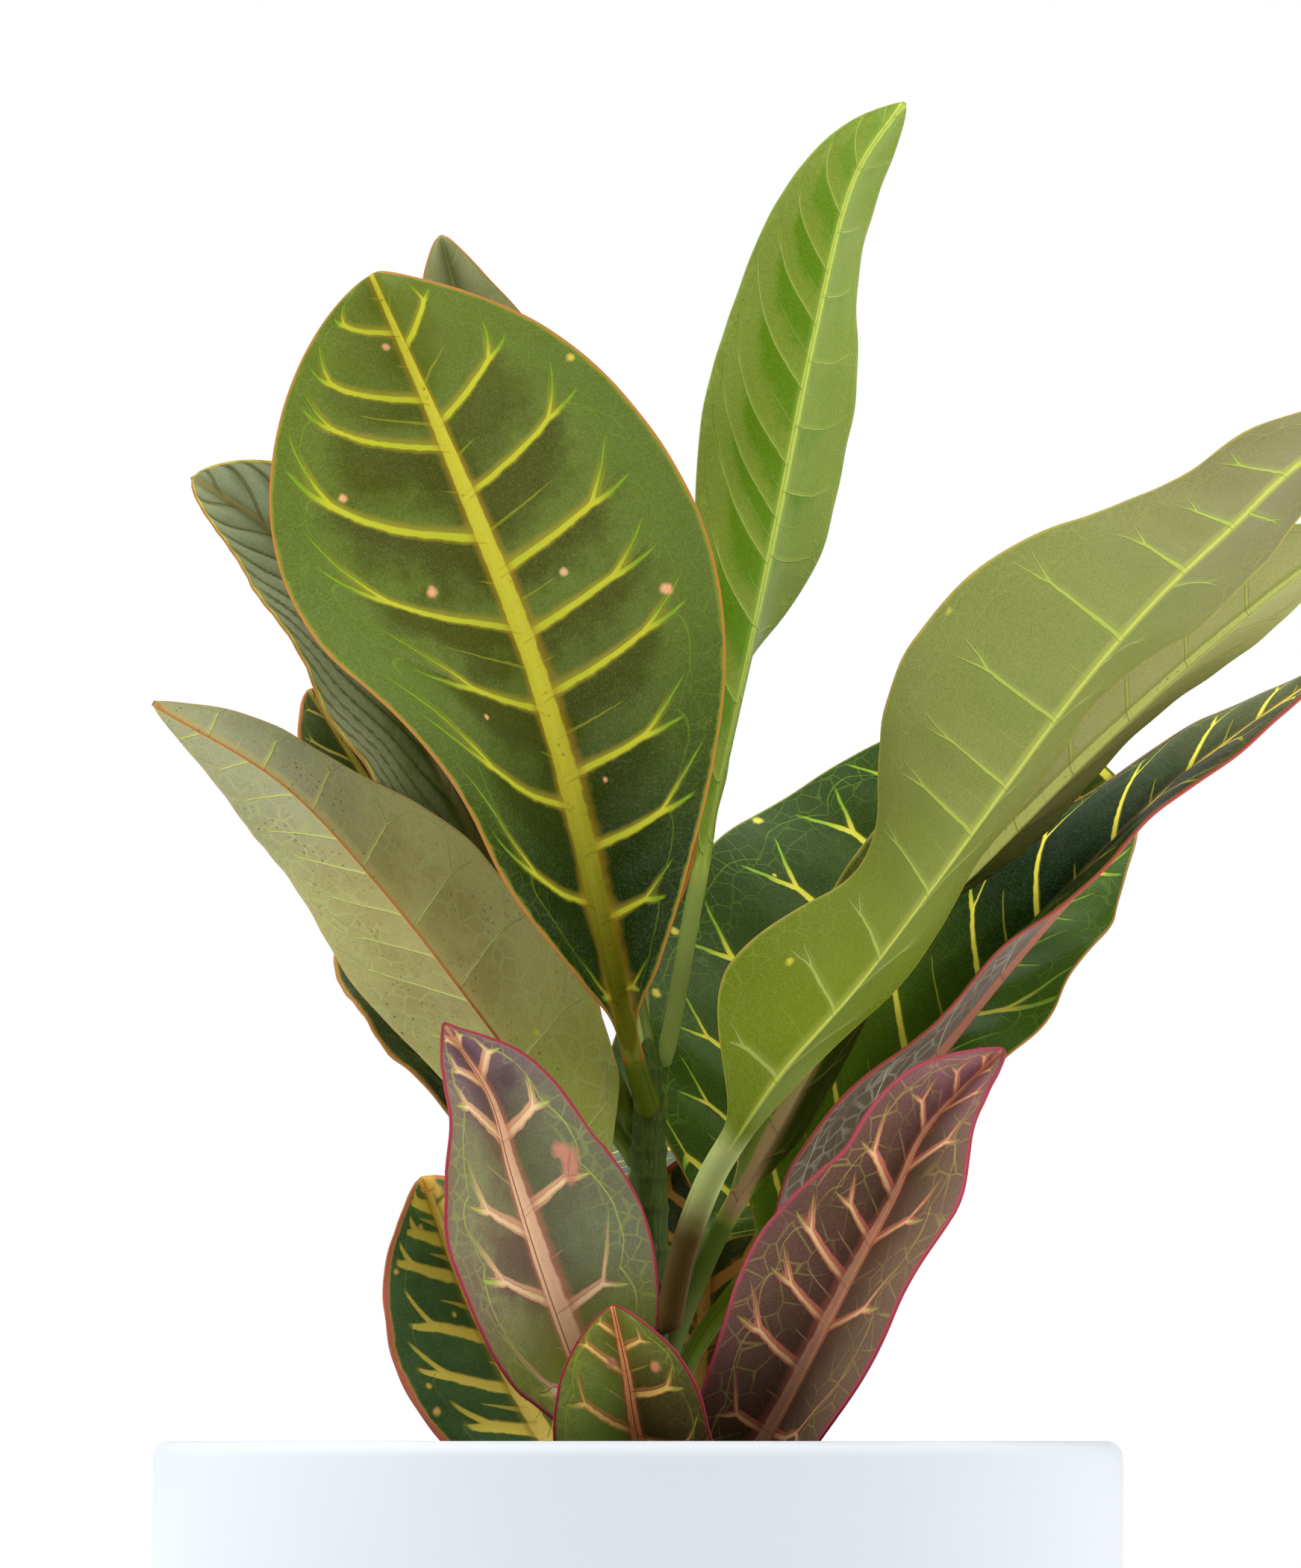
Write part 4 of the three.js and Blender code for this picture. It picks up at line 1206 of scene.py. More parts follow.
# Ground and Patches are the pale and deep sides of each panel, painted shade of the raised skin.
young_under_paint = {
    **front_paint,
    "Ground": (128, 149, 48), "Patches": (96, 135, 9), "Outer ground": (141, 158, 70),
    "Right ground": (140, 156, 76), "Base ground": (115, 144, 28), "Tip ground": (136, 160, 62),
    "Vein": (166, 184, 88), "Vein end": (156, 180, 72), "Halo": (157, 182, 55), "Rib": (186, 204, 88),
    "Rib base": (160, 180, 78), "Rib edge": (144, 168, 62), "Margin": (150, 166, 72),
    "Inner margin": (156, 170, 82), "Stalk": (146, 164, 82), "Foot": (126, 140, 66),
    "Panel amount": 1.3, "Base reach": 0.15, "Tip reach": 0.8, "Halo amount": 0.4, "Net amount": 0.25,
    "Fleck amount": 0.0, "Margin width": 0.15, "Inner margin width": 0.3, "Relief": 1.0,
    "Dullness": 0.42,
}
young_upper_paint = {
    **young_under_paint,
    "Ground": (118, 148, 44), "Patches": (92, 126, 22), "Outer ground": (112, 142, 44),
    "Tip ground": (118, 146, 48), "Vein": (190, 202, 84), "Vein end": (160, 184, 64),
    "Rib": (206, 212, 92),
    "Panel amount": 0.5, "Relief": -1.0, "Dullness": 0.34,
}
young_under = painted("young_leaf_under", young_network, young_under_paint, 3)
young_upper = painted("young_leaf_upper", {**young_network, "Vein width": 0.55}, young_upper_paint, 4)
grow_leaf("young_top_leaf", young_top_leaf, young_upper, young_under)


# Young rear left leaf
# A soft young blade behind the big front leaf, pale grey-green, whose rounded tip shows over that leaf's
# shoulder. Its stalk leaves the stem at the back, just under the bud.
def even_veins(count, first=0.08, last=0.92):
    """Starts of side veins spaced evenly along a blade, those of its right half half a step ahead."""
    step = (last - first) / count
    left = [first + step * k for k in range(count)]
    return {"left": left, "right": [start + 0.4 * step for start in left]}


young_rear_leaf = {
    "node": "leaf_young_rear_left", "base": 1, "face": (-0.1, -1, 0.1),
    "path": [(0.7, 3, 182.5), (-1.5, 9, 193.5), (-6, 13, 215), (-12.5, 15, 240.5), (-19.5, 14, 266),
             (-24.5, 11, 289), (-29, 7, 306.5)],
    "half": 19, "swell": (0.79, 0.64), "left": (15, 22, 34, 50, 60), "right": (29, 24, 21, 25, 55),
    "camber": 0.05, "wave": (0.6, 3, 0.2), "stalk": 1.3,
    "veins": even_veins(9),
    "sweep": {"left": (0.6, 0.4), "right": (0.6, 0.4)},
    "quilt": 0.5,
}
pale_network = {**young_network, "Vein width": 0.35, "Rib left": 0.9, "Rib right": 0.9, "Rib tip": 0.35}
# Right ground darkens the right half, painted shade on that half of the folded blade.
pale_paint = {
    **young_under_paint,
    "Ground": (152, 157, 108), "Patches": (128, 138, 78), "Outer ground": (156, 160, 112),
    "Right ground": (124, 134, 74), "Base ground": (110, 122, 60), "Tip ground": (154, 158, 110),
    "Vein": (172, 176, 126), "Vein end": (160, 164, 112), "Halo": (160, 164, 112),
    "Rib": (184, 184, 124), "Rib base": (170, 174, 104), "Rib edge": (156, 160, 100),
    "Margin": (150, 140, 96),
    "Right amount": 0.8, "Panel amount": 0.4, "Tip reach": 0.6, "Relief": -0.6,
}
pale_upper = painted("pale_leaf_upper", pale_network, pale_paint, 5)
grow_leaf("young_rear_leaf", young_rear_leaf, pale_upper, olive_under)


# High left leaf
# A narrow grey-green blade that leans out to the left, gathered in long pleats beside its pale midrib.
# Its stalk leaves the stem on the left, below those of the young leaves.
high_left_leaf = {
    "node": "leaf_left_high", "base": 1, "face": (-0.2, -1, 0.4),
    "path": [(-0.7, 1.2, 175.5), (-6, 2, 187), (-22, 0, 214), (-33, -4, 234.5), (-41.5, -8, 248.5),
             (-52, -12, 260), (-64, -18, 268)],
    "half": 18, "swell": (0.64, 0.62), "left": (31, 45, 57, 45, 24), "right": (29, 34, 38, 40, 26),
    "camber": 0.06, "wave": (0.7, 4, 2.0), "stalk": 1.4,
    "veins": even_veins(11),
    "sweep": {"left": (1.6, 1.2), "right": (1.6, 1.2)},
    "quilt": 1.1,
}
pleated_network = {
    **front_network, "Vein width": 0.3, "Vein reach": 0.85, "Fork": 0.2, "Stub": 0.2, "Halo width": 0.4,
    "Rib left": 1.3, "Rib right": 1.3, "Rib tip": 0.4,
}
pleated_paint = {
    **front_paint,
    "Ground": (144, 152, 106), "Patches": (104, 119, 68), "Outer ground": (168, 171, 133),
    "Right ground": (117, 133, 71), "Base ground": (85, 103, 44), "Tip ground": (154, 163, 125),
    "Vein": (134, 134, 84), "Vein end": (122, 124, 82), "Halo": (120, 122, 80), "Rib": (164, 156, 104),
    "Rib base": (150, 146, 70), "Rib edge": (140, 136, 66), "Inner margin": (160, 152, 92),
    "Margin": (214, 204, 84),
    "Panel amount": 0.7, "Right amount": 0.3, "Base reach": 0.3, "Tip reach": 0.55, "Halo amount": 0.3,
    "Fleck amount": 0.2, "Margin width": 0.34, "Dullness": 0.34,
}
pleated_upper = painted("pleated_leaf_upper", pleated_network, pleated_paint, 6)
grow_leaf("high_left_leaf", high_left_leaf, pleated_upper, olive_under)


# Dark tipped left leaf
# A dark blade behind the high left leaf, with an orange-red edge and a few thin yellow veins. Its stalk
# grows from the back of the stem and swings out to the left.
dark_tip_leaf = {
    "node": "leaf_left_dark_tip", "base": 1, "face": (-0.1, -1, 0.3),
    "path": [(0, 3, 170.5), (-12.5, 9, 187.5), (-23.5, 11, 203), (-36.5, 12, 221.5), (-48.5, 12, 240)],
    "half": 18.5, "swell": (0.72, 0.69), "left": (33, 35, 40, 48, 54), "right": (35,) * 5,
    "camber": 0.05, "wave": (0.5, 3, 1.5), "stalk": 1.4,
    "veins": even_veins(7),
    "sweep": {"left": (0.7, 0.5), "right": (0.7, 0.5)},
}
dark_network = {
    **front_network, "Vein width": 0.6, "Vein reach": 0.6, "Halo width": 0.4, "Rib left": 1.3,
    "Rib right": 1.3,
}
dark_paint = {
    **front_paint,
    "Ground": (46, 62, 20), "Patches": (66, 80, 36), "Outer ground": (76, 86, 48),
    "Right ground": (52, 68, 24), "Base ground": (38, 54, 12), "Tip ground": (80, 90, 52),
    "Vein": (176, 164, 70), "Vein end": (120, 136, 50), "Halo": (120, 112, 48), "Rib": (190, 172, 80),
    "Rib base": (150, 142, 50), "Rib edge": (130, 110, 44), "Margin": (198, 108, 58),
    "Inner margin": (150, 124, 56),
    "Margin width": 0.4, "Panel amount": 0.3, "Right amount": 0.3, "Tip reach": 0.8, "Halo amount": 0.5,
    "Net amount": 0.2, "Dullness": 0.32,
}
dark_upper = painted("dark_leaf_upper", dark_network, dark_paint, 7)
grow_leaf("dark_tip_leaf", dark_tip_leaf, dark_upper, olive_under)


# Left underside leaf
# An older leaf that turns its matt olive under side to the front. Its midrib is dark red near the stalk,
# with an orange border, and the skin is freckled brown.
left_underside_leaf = {
    "node": "leaf_left_underside", "base": 1, "face": (0.3, 1, 0.4),
    "path": [(-0.8, -2.9, 161.5), (-3.5, -6.5, 165.5), (-12, -12, 177.5), (-24, -19.5, 193.5),
             (-36, -26.5, 208.5), (-50, -33, 223), (-68.5, -36, 234)],
    "half": 18.8, "swell": (0.53, 0.85), "left": (66, 63, 68, 82, 70), "right": (34, 27, 26, 24, 20),
    "camber": 0.05, "wave": (0.8, 3, 0.9), "stalk": 1.5,
    "veins": {
        "left": (0.1, 0.245, 0.392, 0.502, 0.62, 0.73, 0.82, 0.91),
        "right": (0.1, 0.24, 0.36, 0.44, 0.52, 0.6, 0.667, 0.76, 0.84, 0.92),
    },
    "sweep": {"left": (0.0, 0.05), "right": (0.55, 0.3)},
}
freckled_network = {
    **under_network, "Vein width": 0.36, "Vein reach": 0.7, "Fork": 0.35, "Halo width": 0.5,
    "Net width": 0.14, "Net start": 0.15, "Rib left": 0.32, "Rib right": 0.32, "Rib tip": 0.15,
}
freckled_paint = {
    **under_paint,
    "Ground": (170, 164, 101), "Patches": (152, 142, 80), "Outer ground": (182, 177, 113),
    "Right ground": (133, 128, 81), "Base ground": (156, 162, 72), "Tip ground": (151, 152, 114),
    "Vein": (182, 190, 106), "Vein end": (168, 178, 112), "Halo": (204, 189, 130), "Rib": (178, 124, 66),
    "Rib base": (88, 18, 18), "Rib edge": (174, 158, 94), "Flecks": (104, 72, 50),
    "Inner margin": (172, 150, 92), "Margin": (140, 70, 52), "Stalk": (112, 116, 50),
    "Base reach": 0.38, "Tip reach": 0.55, "Speck amount": 0.9, "Fleck amount": 0.0, "Net amount": 0.45,
    "Margin width": 0.2,
}
bold_yellow = (214, 204, 70)
freckled_dabs = [(0.25, -0.3, 0.9, bold_yellow), (0.475, -0.27, 0.7, (190, 150, 90))]
freckled_under = painted(
    "freckled_leaf_under", freckled_network, freckled_paint, 8, left_underside_leaf, freckled_dabs
)
grow_leaf("left_underside_leaf", left_underside_leaf, front_upper, freckled_under)


# Hidden left leaf
# A dark blade of which only a strip shows under the left underside leaf, with an orange-yellow edge.
# Its stalk grows from the back of the stem, halfway up.
hidden_left_leaf = {
    "node": "leaf_left_behind", "base": 1, "face": (-0.1, -1, 0.4),
    "path": [(-0.9, 2, 157), (-10.5, 12, 169), (-19, 18, 177), (-28, 22, 186), (-37, 24, 196),
             (-43.5, 24, 205)],
    "half": 16.5, "swell": (0.75, 0.6), "left": (39, 54, 60, 60, 52), "right": (35,) * 5,
    "camber": 0.05, "wave": (0.5, 3, 0.1), "stalk": 1.4,
    "veins": even_veins(7),
    "sweep": {"left": (0.7, 0.5), "right": (0.7, 0.5)},
}
yellow_edged_paint = {**dark_paint, "Margin": (206, 152, 58), "Inner margin": (160, 140, 50)}
yellow_edged_upper = painted("yellow_edged_leaf_upper", dark_network, yellow_edged_paint, 9)
grow_leaf("hidden_left_leaf", hidden_left_leaf, yellow_edged_upper, olive_under)


# Low front left leaf
# One of the oldest, smallest blades: the green has turned grey and maroon, and the veins and the broad band
# beside the midrib have turned salmon, with pale yellow lines and a crimson edge.
low_front_leaf = {
    "node": "leaf_low_front_left", "base": 1, "face": (0, -1, 0),
    "path": [(-0.8, -2, 123), (-6, -20, 133), (-10, -27, 143.5), (-14, -31, 155), (-18, -33, 168),
             (-21, -33, 178.5), (-27.5, -30, 189)],
    "half": 17.2, "swell": (0.72, 0.9), "left": (62, 53, 49, 57, 60), "right": (24, 19, 20, 35, 65),
    "camber": 0.07, "wave": (0.4, 3, 0.7), "stalk": 1.3,
    "veins": {"left": (0.08, 0.32, 0.475, 0.7, 0.82, 0.93), "right": (0.1, 0.28, 0.53, 0.7, 0.84, 0.93)},
    "sweep": {"left": (0.65, 0.3), "right": (0.4, 0.1)},
}
salmon_network = {
    **front_network, "Vein width": 0.78, "Vein reach": 0.6, "Fork": 0.42, "Halo width": 1.3,
    "Halo firmness": 0.6, "Net size": 2.6, "Net width": 0.12, "Net start": 0.45, "Rib left": 1.4,
    "Rib right": 2.7,
}
salmon_paint = {
    **front_paint,
    "Ground": (139, 140, 99), "Patches": (119, 98, 80), "Outer ground": (121, 104, 83),
    "Right ground": (97, 111, 78), "Base ground": (138, 148, 52), "Tip ground": (118, 92, 102),
    "Vein": (250, 214, 164), "Vein end": (178, 188, 92), "Halo": (235, 177, 139), "Rib": (250, 210, 173),
    "Rib base": (248, 206, 160), "Rib edge": (214, 140, 114), "Groove": (112, 40, 38),
    "Flecks": (160, 80, 70), "Inner margin": (142, 106, 88), "Margin": (156, 50, 66),
    "Stalk": (130, 110, 60), "Foot": (110, 110, 50),
    "Panel amount": 0.2, "Right amount": 0.6, "Base reach": 0.42, "Tip reach": 0.66, "Halo amount": 0.9,
    "Net amount": 0.24, "Loop amount": 0.6, "Line amount": 0.7, "Groove amount": 0.9,
    "Fleck amount": 0.4, "Margin width": 0.32,
}
salmon = (206, 140, 116)
salmon_dabs = [
    (0.575, 0.56, 1.5, salmon), (0.6, 0.6, 1.9, salmon), (0.63, 0.64, 1.9, salmon), (0.65, 0.6, 1.6, salmon),
    (0.81, 0.5, 2.6, (96, 80, 80)),
]
salmon_upper = painted("salmon_leaf_upper", salmon_network, salmon_paint, 10, low_front_leaf, salmon_dabs)
dusky_paint = {
    **under_paint,
    "Ground": (112, 92, 76), "Patches": (98, 92, 60), "Outer ground": (118, 96, 84),
    "Right ground": (110, 92, 74), "Base ground": (98, 96, 50), "Tip ground": (120, 88, 80),
    "Vein": (176, 138, 106), "Vein end": (140, 118, 86), "Halo": (140, 104, 84), "Rib": (178, 120, 96),
    "Rib base": (170, 130, 92), "Rib edge": (140, 96, 76), "Margin": (150, 56, 68),
    "Inner margin": (130, 84, 72),
}
dusky_under = painted("dusky_leaf_under", under_network, dusky_paint, 11)
grow_leaf("low_front_leaf", low_front_leaf, salmon_upper, dusky_under)


# Low back left leaf
# A very dark green blade with broad bare yellow veins, a yellow tip, and an edge that has turned pink-red.
# Its stalk leaves the stem low down, a little above the soil, and leans back to the left.
low_back_left_leaf = {
    "node": "leaf_low_back_left", "base": 1, "face": (0, -1, 0),
    "path": [(-0.7, 2.1, 119), (-9.5, 16, 125.5), (-17, 23, 136.5), (-25, 27, 151), (-32, 26, 169)],
    "half": 18, "swell": (0.63, 0.63), "left": (22, 27, 41, 44, 60), "right": (35,) * 5,
    "camber": 0.06, "wave": (0.5, 3, 1.9), "stalk": 1.3,
    "veins": {"left": (0.17, 0.315, 0.49, 0.69, 0.8, 0.9), "right": (0.12, 0.28, 0.43, 0.6, 0.76, 0.88)},
    "sweep": {"left": (0.45, 0.3), "right": (0.45, 0.3)},
}
bold_network = {
    **dark_network, "Vein width": 2.2, "Vein reach": 0.56, "Fork": 0.4, "Stub": 0.6, "Rib left": 1.7,
    "Rib right": 1.7, "Rib tip": 0.8,
}
bold_paint = {
    **dark_paint,
    "Ground": (74, 104, 55), "Patches": (96, 130, 79), "Outer ground": (88, 124, 74),
    "Right ground": (78, 106, 55), "Base ground": (74, 104, 55), "Tip ground": (96, 130, 74),
    "Vein": (252, 226, 104), "Vein end": (240, 222, 96), "Halo": (190, 180, 70), "Rib": (252, 222, 110),
    "Rib base": (250, 226, 116), "Rib edge": (160, 146, 60), "Inner margin": (240, 190, 100),
    "Margin": (240, 130, 110),
    "Margin width": 0.75, "Inner margin width": 0.5, "Net amount": 0.0, "Loop amount": 0.1,
}
tip_yellow = (252, 206, 104)
bold_dabs = [
    (0.98, 0.1, 2.4, tip_yellow), (0.94, 0.3, 1.4, tip_yellow), (0.783, -0.85, 0.6, tip_yellow),
    (0.86, -0.45, 0.7, tip_yellow), (0.42, -0.8, 0.6, tip_yellow), (0.33, -0.86, 0.8, tip_yellow),
    (0.58, -0.25, 0.6, (230, 214, 100)),
]
bold_upper = painted("bold_leaf_upper", bold_network, bold_paint, 12, low_back_left_leaf, bold_dabs)
grow_leaf("low_back_left_leaf", low_back_left_leaf, bold_upper, olive_under)


# Small front leaf
# The lowest and smallest blade: green on its left half and maroon on its right, with a salmon band along
# the midrib, thin green veins, one pink spot and a dark red edge.
small_front_leaf = {
    "node": "leaf_small_front", "base": 1, "face": (0, -1, 0),
    "path": [(1.5, -3, 117.5), (1.5, -20, 119.5), (1, -32, 126), (-0.5, -38, 133), (-1.5, -41, 139.5),
             (-3.5, -42, 149)],
    "half": 14.3, "swell": (0.71, 0.69), "left": (36, 36, 35, 30, 36), "right": (35, 39, 44, 43, 56),
    "camber": 0.07, "wave": (0.3, 2, 0.5), "stalk": 1.1,
    "veins": {"left": (0.2, 0.53, 0.75, 0.88), "right": (0.32, 0.5, 0.68, 0.84)},
    "sweep": {"left": (0.9, 0.2), "right": (0.2, 0.1)},
}
small_network = {
    **salmon_network, "Vein width": 0.6, "Vein reach": 0.66, "Halo width": 0.8, "Rib left": 1.7,
    "Rib right": 1.8,
}
small_paint = {
    **salmon_paint,
    "Ground": (117, 134, 55), "Patches": (103, 124, 47), "Outer ground": (109, 126, 55),
    "Right ground": (70, 44, 22), "Base ground": (76, 60, 26), "Tip ground": (106, 112, 41),
    "Vein": (236, 192, 106), "Vein end": (150, 156, 56), "Halo": (206, 136, 80), "Rib": (240, 160, 110),
    "Rib base": (240, 156, 120), "Rib edge": (150, 96, 62), "Inner margin": (130, 72, 50),
    "Margin": (134, 38, 50),
    "Right amount": 0.85, "Base reach": 0.2, "Outer amount": 0.4, "Halo amount": 0.6,
    "Margin width": 0.27, "Inner margin width": 0.3,
}
small_dabs = [(0.775, 0.6, 1.1, (216, 140, 100)), (0.8, -0.24, 1.0, salmon)]
small_upper = painted("small_leaf_upper", small_network, small_paint, 13, small_front_leaf, small_dabs)
grow_leaf("small_front_leaf", small_front_leaf, small_upper, dusky_under)


# Low right leaf
# An old maroon blade like a shallow boat, with a salmon band left of its dark groove and orange-yellow veins
# edged in pink. Thin green lines link the veins into cells toward its magenta edge.
low_right_leaf = {
    "node": "leaf_low_right", "base": 1, "face": (0.1, -1, 0.3),
    "path": [(4.3, -1.4, 121.5), (14, -14, 122), (19, -22, 130.5), (25, -28, 142), (30.5, -31, 153),
             (36, -32, 163.5), (41, -31, 174), (52, -27, 185.5)],
    "half": 19, "swell": (0.7, 0.79), "left": (37, 45, 44, 58, 68), "right": (51, 66, 65, 60, 66),
    "camber": 0.06, "wave": (0.5, 3, 2.2), "stalk": 1.3,
    "veins": {
        "left": (0.165, 0.305, 0.4, 0.48, 0.565, 0.65, 0.78, 0.865, 0.94),
        "right": (0.17, 0.396, 0.567, 0.708, 0.83, 0.92),
    },
    "sweep": {"left": (0.4, 0.1), "right": (0.55, 0.3)},
}
maroon_network = {
    **salmon_network, "Vein width": 0.66, "Halo width": 1.0, "Net size": 4.4, "Net width": 0.09,
    "Net start": 0.2, "Rib left": 3.0, "Rib right": 0.7, "Rib tip": 0.7,
}
# Right ground lightens the right half to a greyish maroon, painted sheen on that half of the blade.
maroon_paint = {
    **salmon_paint,
    "Ground": (108, 76, 66), "Patches": (94, 70, 54), "Outer ground": (108, 74, 66),
    "Right ground": (118, 96, 76), "Base ground": (68, 72, 10), "Tip ground": (154, 106, 116),
    "Vein": (252, 208, 150), "Vein end": (170, 156, 88), "Halo": (232, 134, 112), "Rib": (250, 196, 160),
    "Rib base": (250, 200, 166), "Rib edge": (206, 122, 104), "Groove": (92, 38, 40),
    "Inner margin": (140, 78, 76), "Margin": (178, 72, 92),
    "Right amount": 0.75, "Base reach": 0.24, "Tip reach": 0.72, "Net amount": 0.45, "Line amount": 0.5,
    "Margin width": 0.3,
}
maroon_upper = painted("maroon_leaf_upper", maroon_network, maroon_paint, 14)
grow_leaf("low_right_leaf", low_right_leaf, maroon_upper, dusky_under)


# Big right leaf
# The broadest leaf on the right, on a long pale green stalk with a brown foot. It turns its olive
# under side to the front, greyer to the tip and greener to the stalk, with a raised yellow-green midrib.
big_right_leaf = {
    "node": "leaf_big_right", "base": 3, "face": (0.1, 1, 0.5),
    "path": [(4.4, -2.2, 147.5), (6.5, -7, 157), (9.5, -11, 165.5), (13, -15, 172), (21, -21, 183),
             (31.5, -28, 195), (41.5, -34, 208), (52, -39, 222), (62.5, -43, 236), (73, -46, 248),
             (83.5, -47, 258), (93, -46, 267), (108.5, -42, 278)],
    "half": 30, "swell": (0.59, 0.66), "left": (64, 70, 74, 59, 47), "right": (8, 77, 49, 74, 86),
    "camber": 0.05, "wave": (0.8, 4, 0.2), "stalk": 2,
    "veins": {
        "left": (0.1, 0.2, 0.3, 0.4, 0.5, 0.6, 0.7, 0.8, 0.9),
        "right": (0.09, 0.18, 0.25, 0.33, 0.4, 0.454, 0.533, 0.633, 0.72, 0.78, 0.85, 0.92),
    },
    "sweep": {"left": (0.3, 0.2), "right": (-0.1, 0.0)},
    "quilt": 0.5,
}
broad_under_network = {
    **under_network, "Vein width": 0.6, "Vein reach": 0.6, "Fork": 0.14, "Stub": 0.15, "Halo width": 1.5,
    "Rib left": 0.6, "Rib right": 0.5, "Rib tip": 0.35,
}
broad_under_paint = {
    **under_paint,
    "Ground": (124, 131, 64), "Patches": (117, 129, 57), "Outer ground": (129, 134, 67),
    "Right ground": (125, 132, 65), "Base ground": (111, 128, 19), "Tip ground": (126, 122, 75),
    "Vein": (156, 172, 74), "Vein end": (146, 158, 76), "Halo": (154, 160, 82), "Rib": (178, 186, 84),
    "Rib base": (190, 202, 84), "Rib edge": (160, 166, 74), "Inner margin": (166, 156, 66),
    "Margin": (190, 160, 66), "Stalk": (186, 200, 122), "Foot": (92, 72, 34),
    "Base reach": 0.44, "Tip reach": 0.62, "Halo amount": 0.3,
}
broad_dabs = [
    (0.54, 0.93, 0.9, bold_yellow), (0.154, 0.65, 0.9, bold_yellow), (0.57, 0.86, 0.6, bold_yellow),
]
broad_under = painted(
    "broad_leaf_under", broad_under_network, broad_under_paint, 15, big_right_leaf, broad_dabs
)
grow_leaf("big_right_leaf", big_right_leaf, front_upper, broad_under)


# Right leaf behind
# A long leaf just behind the big right one, its olive under side in front, with a tan band along the midrib.
# It grows on a stalk of its own from the right of the stem, behind the big leaf's.
right_behind_leaf = {
    "node": "leaf_right_behind", "base": 2, "face": (0.1, 1, 0.5),
    "path": [(4, 2, 141), (7.5, 4, 150.5), (12.5, 4, 161.5), (19.5, 4, 173.5), (27.5, 3, 187.5),
             (37.5, 1, 201.5), (50.5, -2, 214), (64.5, -5, 228), (78.5, -8, 241), (91, -10, 251.5),
             (102, -11, 260)],
    "half": 19, "swell": (0.84, 0.54), "left": (40, 70, 70, 66, 55), "right": (50, 50, 50, 50, 50),
    "camber": 0.05, "wave": (0.8, 3, 1.2), "stalk": 1.5,
    "veins": even_veins(10),
    "sweep": {"left": (0.6, 0.4), "right": (0.6, 0.4)},
}
tan_network = {**under_network, "Rib left": 2.1, "Rib right": 2.1, "Rib tip": 0.15}
tan_paint = {
    **under_paint,
    "Ground": (89, 95, 31), "Patches": (75, 84, 18), "Outer ground": (95, 98, 38),
    "Right ground": (83, 90, 29), "Base ground": (90, 104, 24), "Tip ground": (156, 156, 92),
    "Vein": (160, 168, 80), "Rib": (176, 180, 96), "Rib base": (152, 122, 84),
    "Rib edge": (112, 130, 40), "Flecks": (110, 70, 44), "Inner margin": (160, 160, 66),
    "Margin": (190, 184, 74), "Stalk": (74, 92, 26), "Foot": (96, 108, 50),
    "Fleck amount": 0.7, "Speck amount": 0.3, "Tip reach": 0.4,
}
tan_under = painted("tan_leaf_under", tan_network, tan_paint, 16)
grow_leaf("right_behind_leaf", right_behind_leaf, front_upper, tan_under)


# Long right leaf
# A long dark blade held out to the right like a trough: the back half shows its glossy upper side with bold
# yellow veins, and the front half is folded up and shows its under side with a fine net and a red edge,
# painted grey as sheen at that steep angle.
long_right_leaf = {
    "node": "leaf_long_right", "base": 2, "face": (-0.7, -0.4, 0.7),
    "path": [(4, 1.6, 133), (8, 6, 143), (16, 9, 154), (25.5, 12, 167), (35.5, 14, 178),
             (44.5, 15, 188), (53.5, 15, 199), (64, 14, 211), (77, 12, 224.5), (87, 10, 232.5),
             (97, 8, 239.5), (103, 7, 243.5)],
    "half": 20.8, "swell": (0.66, 0.66), "left": (58, 48, 27, 0, -5), "right": (57, 38, 25, 16, 16),
    "camber": 0.05, "wave": (0.7, 4, 0.6), "stalk": 1.5,
    "veins": {
        "left": (0.08, 0.19, 0.3, 0.43, 0.53, 0.66, 0.78, 0.88),
        "right": (0.1, 0.22, 0.34, 0.46, 0.58, 0.7, 0.82, 0.91),
    },
    "sweep": {"left": (0.75, 0.2), "right": (0.6, 0.3)},
}
trough_network = {**dark_network, "Vein width": 0.85, "Vein reach": 0.7, "Rib left": 0.8, "Rib right": 0.8}
trough_paint = {
    **dark_paint,
    "Ground": (9, 34, 1), "Patches": (17, 47, 1), "Outer ground": (17, 48, 1),
    "Right ground": (18, 42, 5), "Base ground": (92, 123, 20), "Tip ground": (82, 90, 46),
    "Vein": (250, 236, 84), "Vein end": (190, 206, 60), "Halo": (176, 170, 46), "Rib": (240, 206, 84),
    "Rib base": (190, 160, 80), "Rib edge": (150, 116, 50), "Margin": (178, 84, 62),
    "Inner margin": (130, 116, 44),
    "Tip reach": 0.66,
}
netted_network = {**under_network, "Net size": 3.4, "Net width": 0.2, "Net start": 0.0, "Vein width": 0.4}
# Its grey ground and patches are painted sheen on this steeply turned under side; the fine net and red edge
# are its own.
netted_paint = {
    **under_paint,
    "Ground": (96, 88, 78), "Patches": (117, 106, 101), "Outer ground": (125, 114, 111),
    "Right ground": (112, 100, 96), "Base ground": (84, 70, 48), "Tip ground": (140, 120, 98),
    "Vein": (170, 158, 132), "Vein end": (168, 160, 142), "Halo": (130, 112, 92), "Rib": (160, 104, 84),
    "Rib base": (140, 96, 74), "Rib edge": (128, 96, 78), "Inner margin": (150, 100, 84),
    "Margin": (172, 84, 74),
    "Net amount": 0.4, "Margin width": 0.4, "Dullness": 0.4,
}
trough_upper = painted("trough_leaf_upper", trough_network, trough_paint, 17, sheen=0.02)
netted_under = painted("netted_leaf_under", netted_network, netted_paint, 18)
grow_leaf("long_right_leaf", long_right_leaf, trough_upper, netted_under)


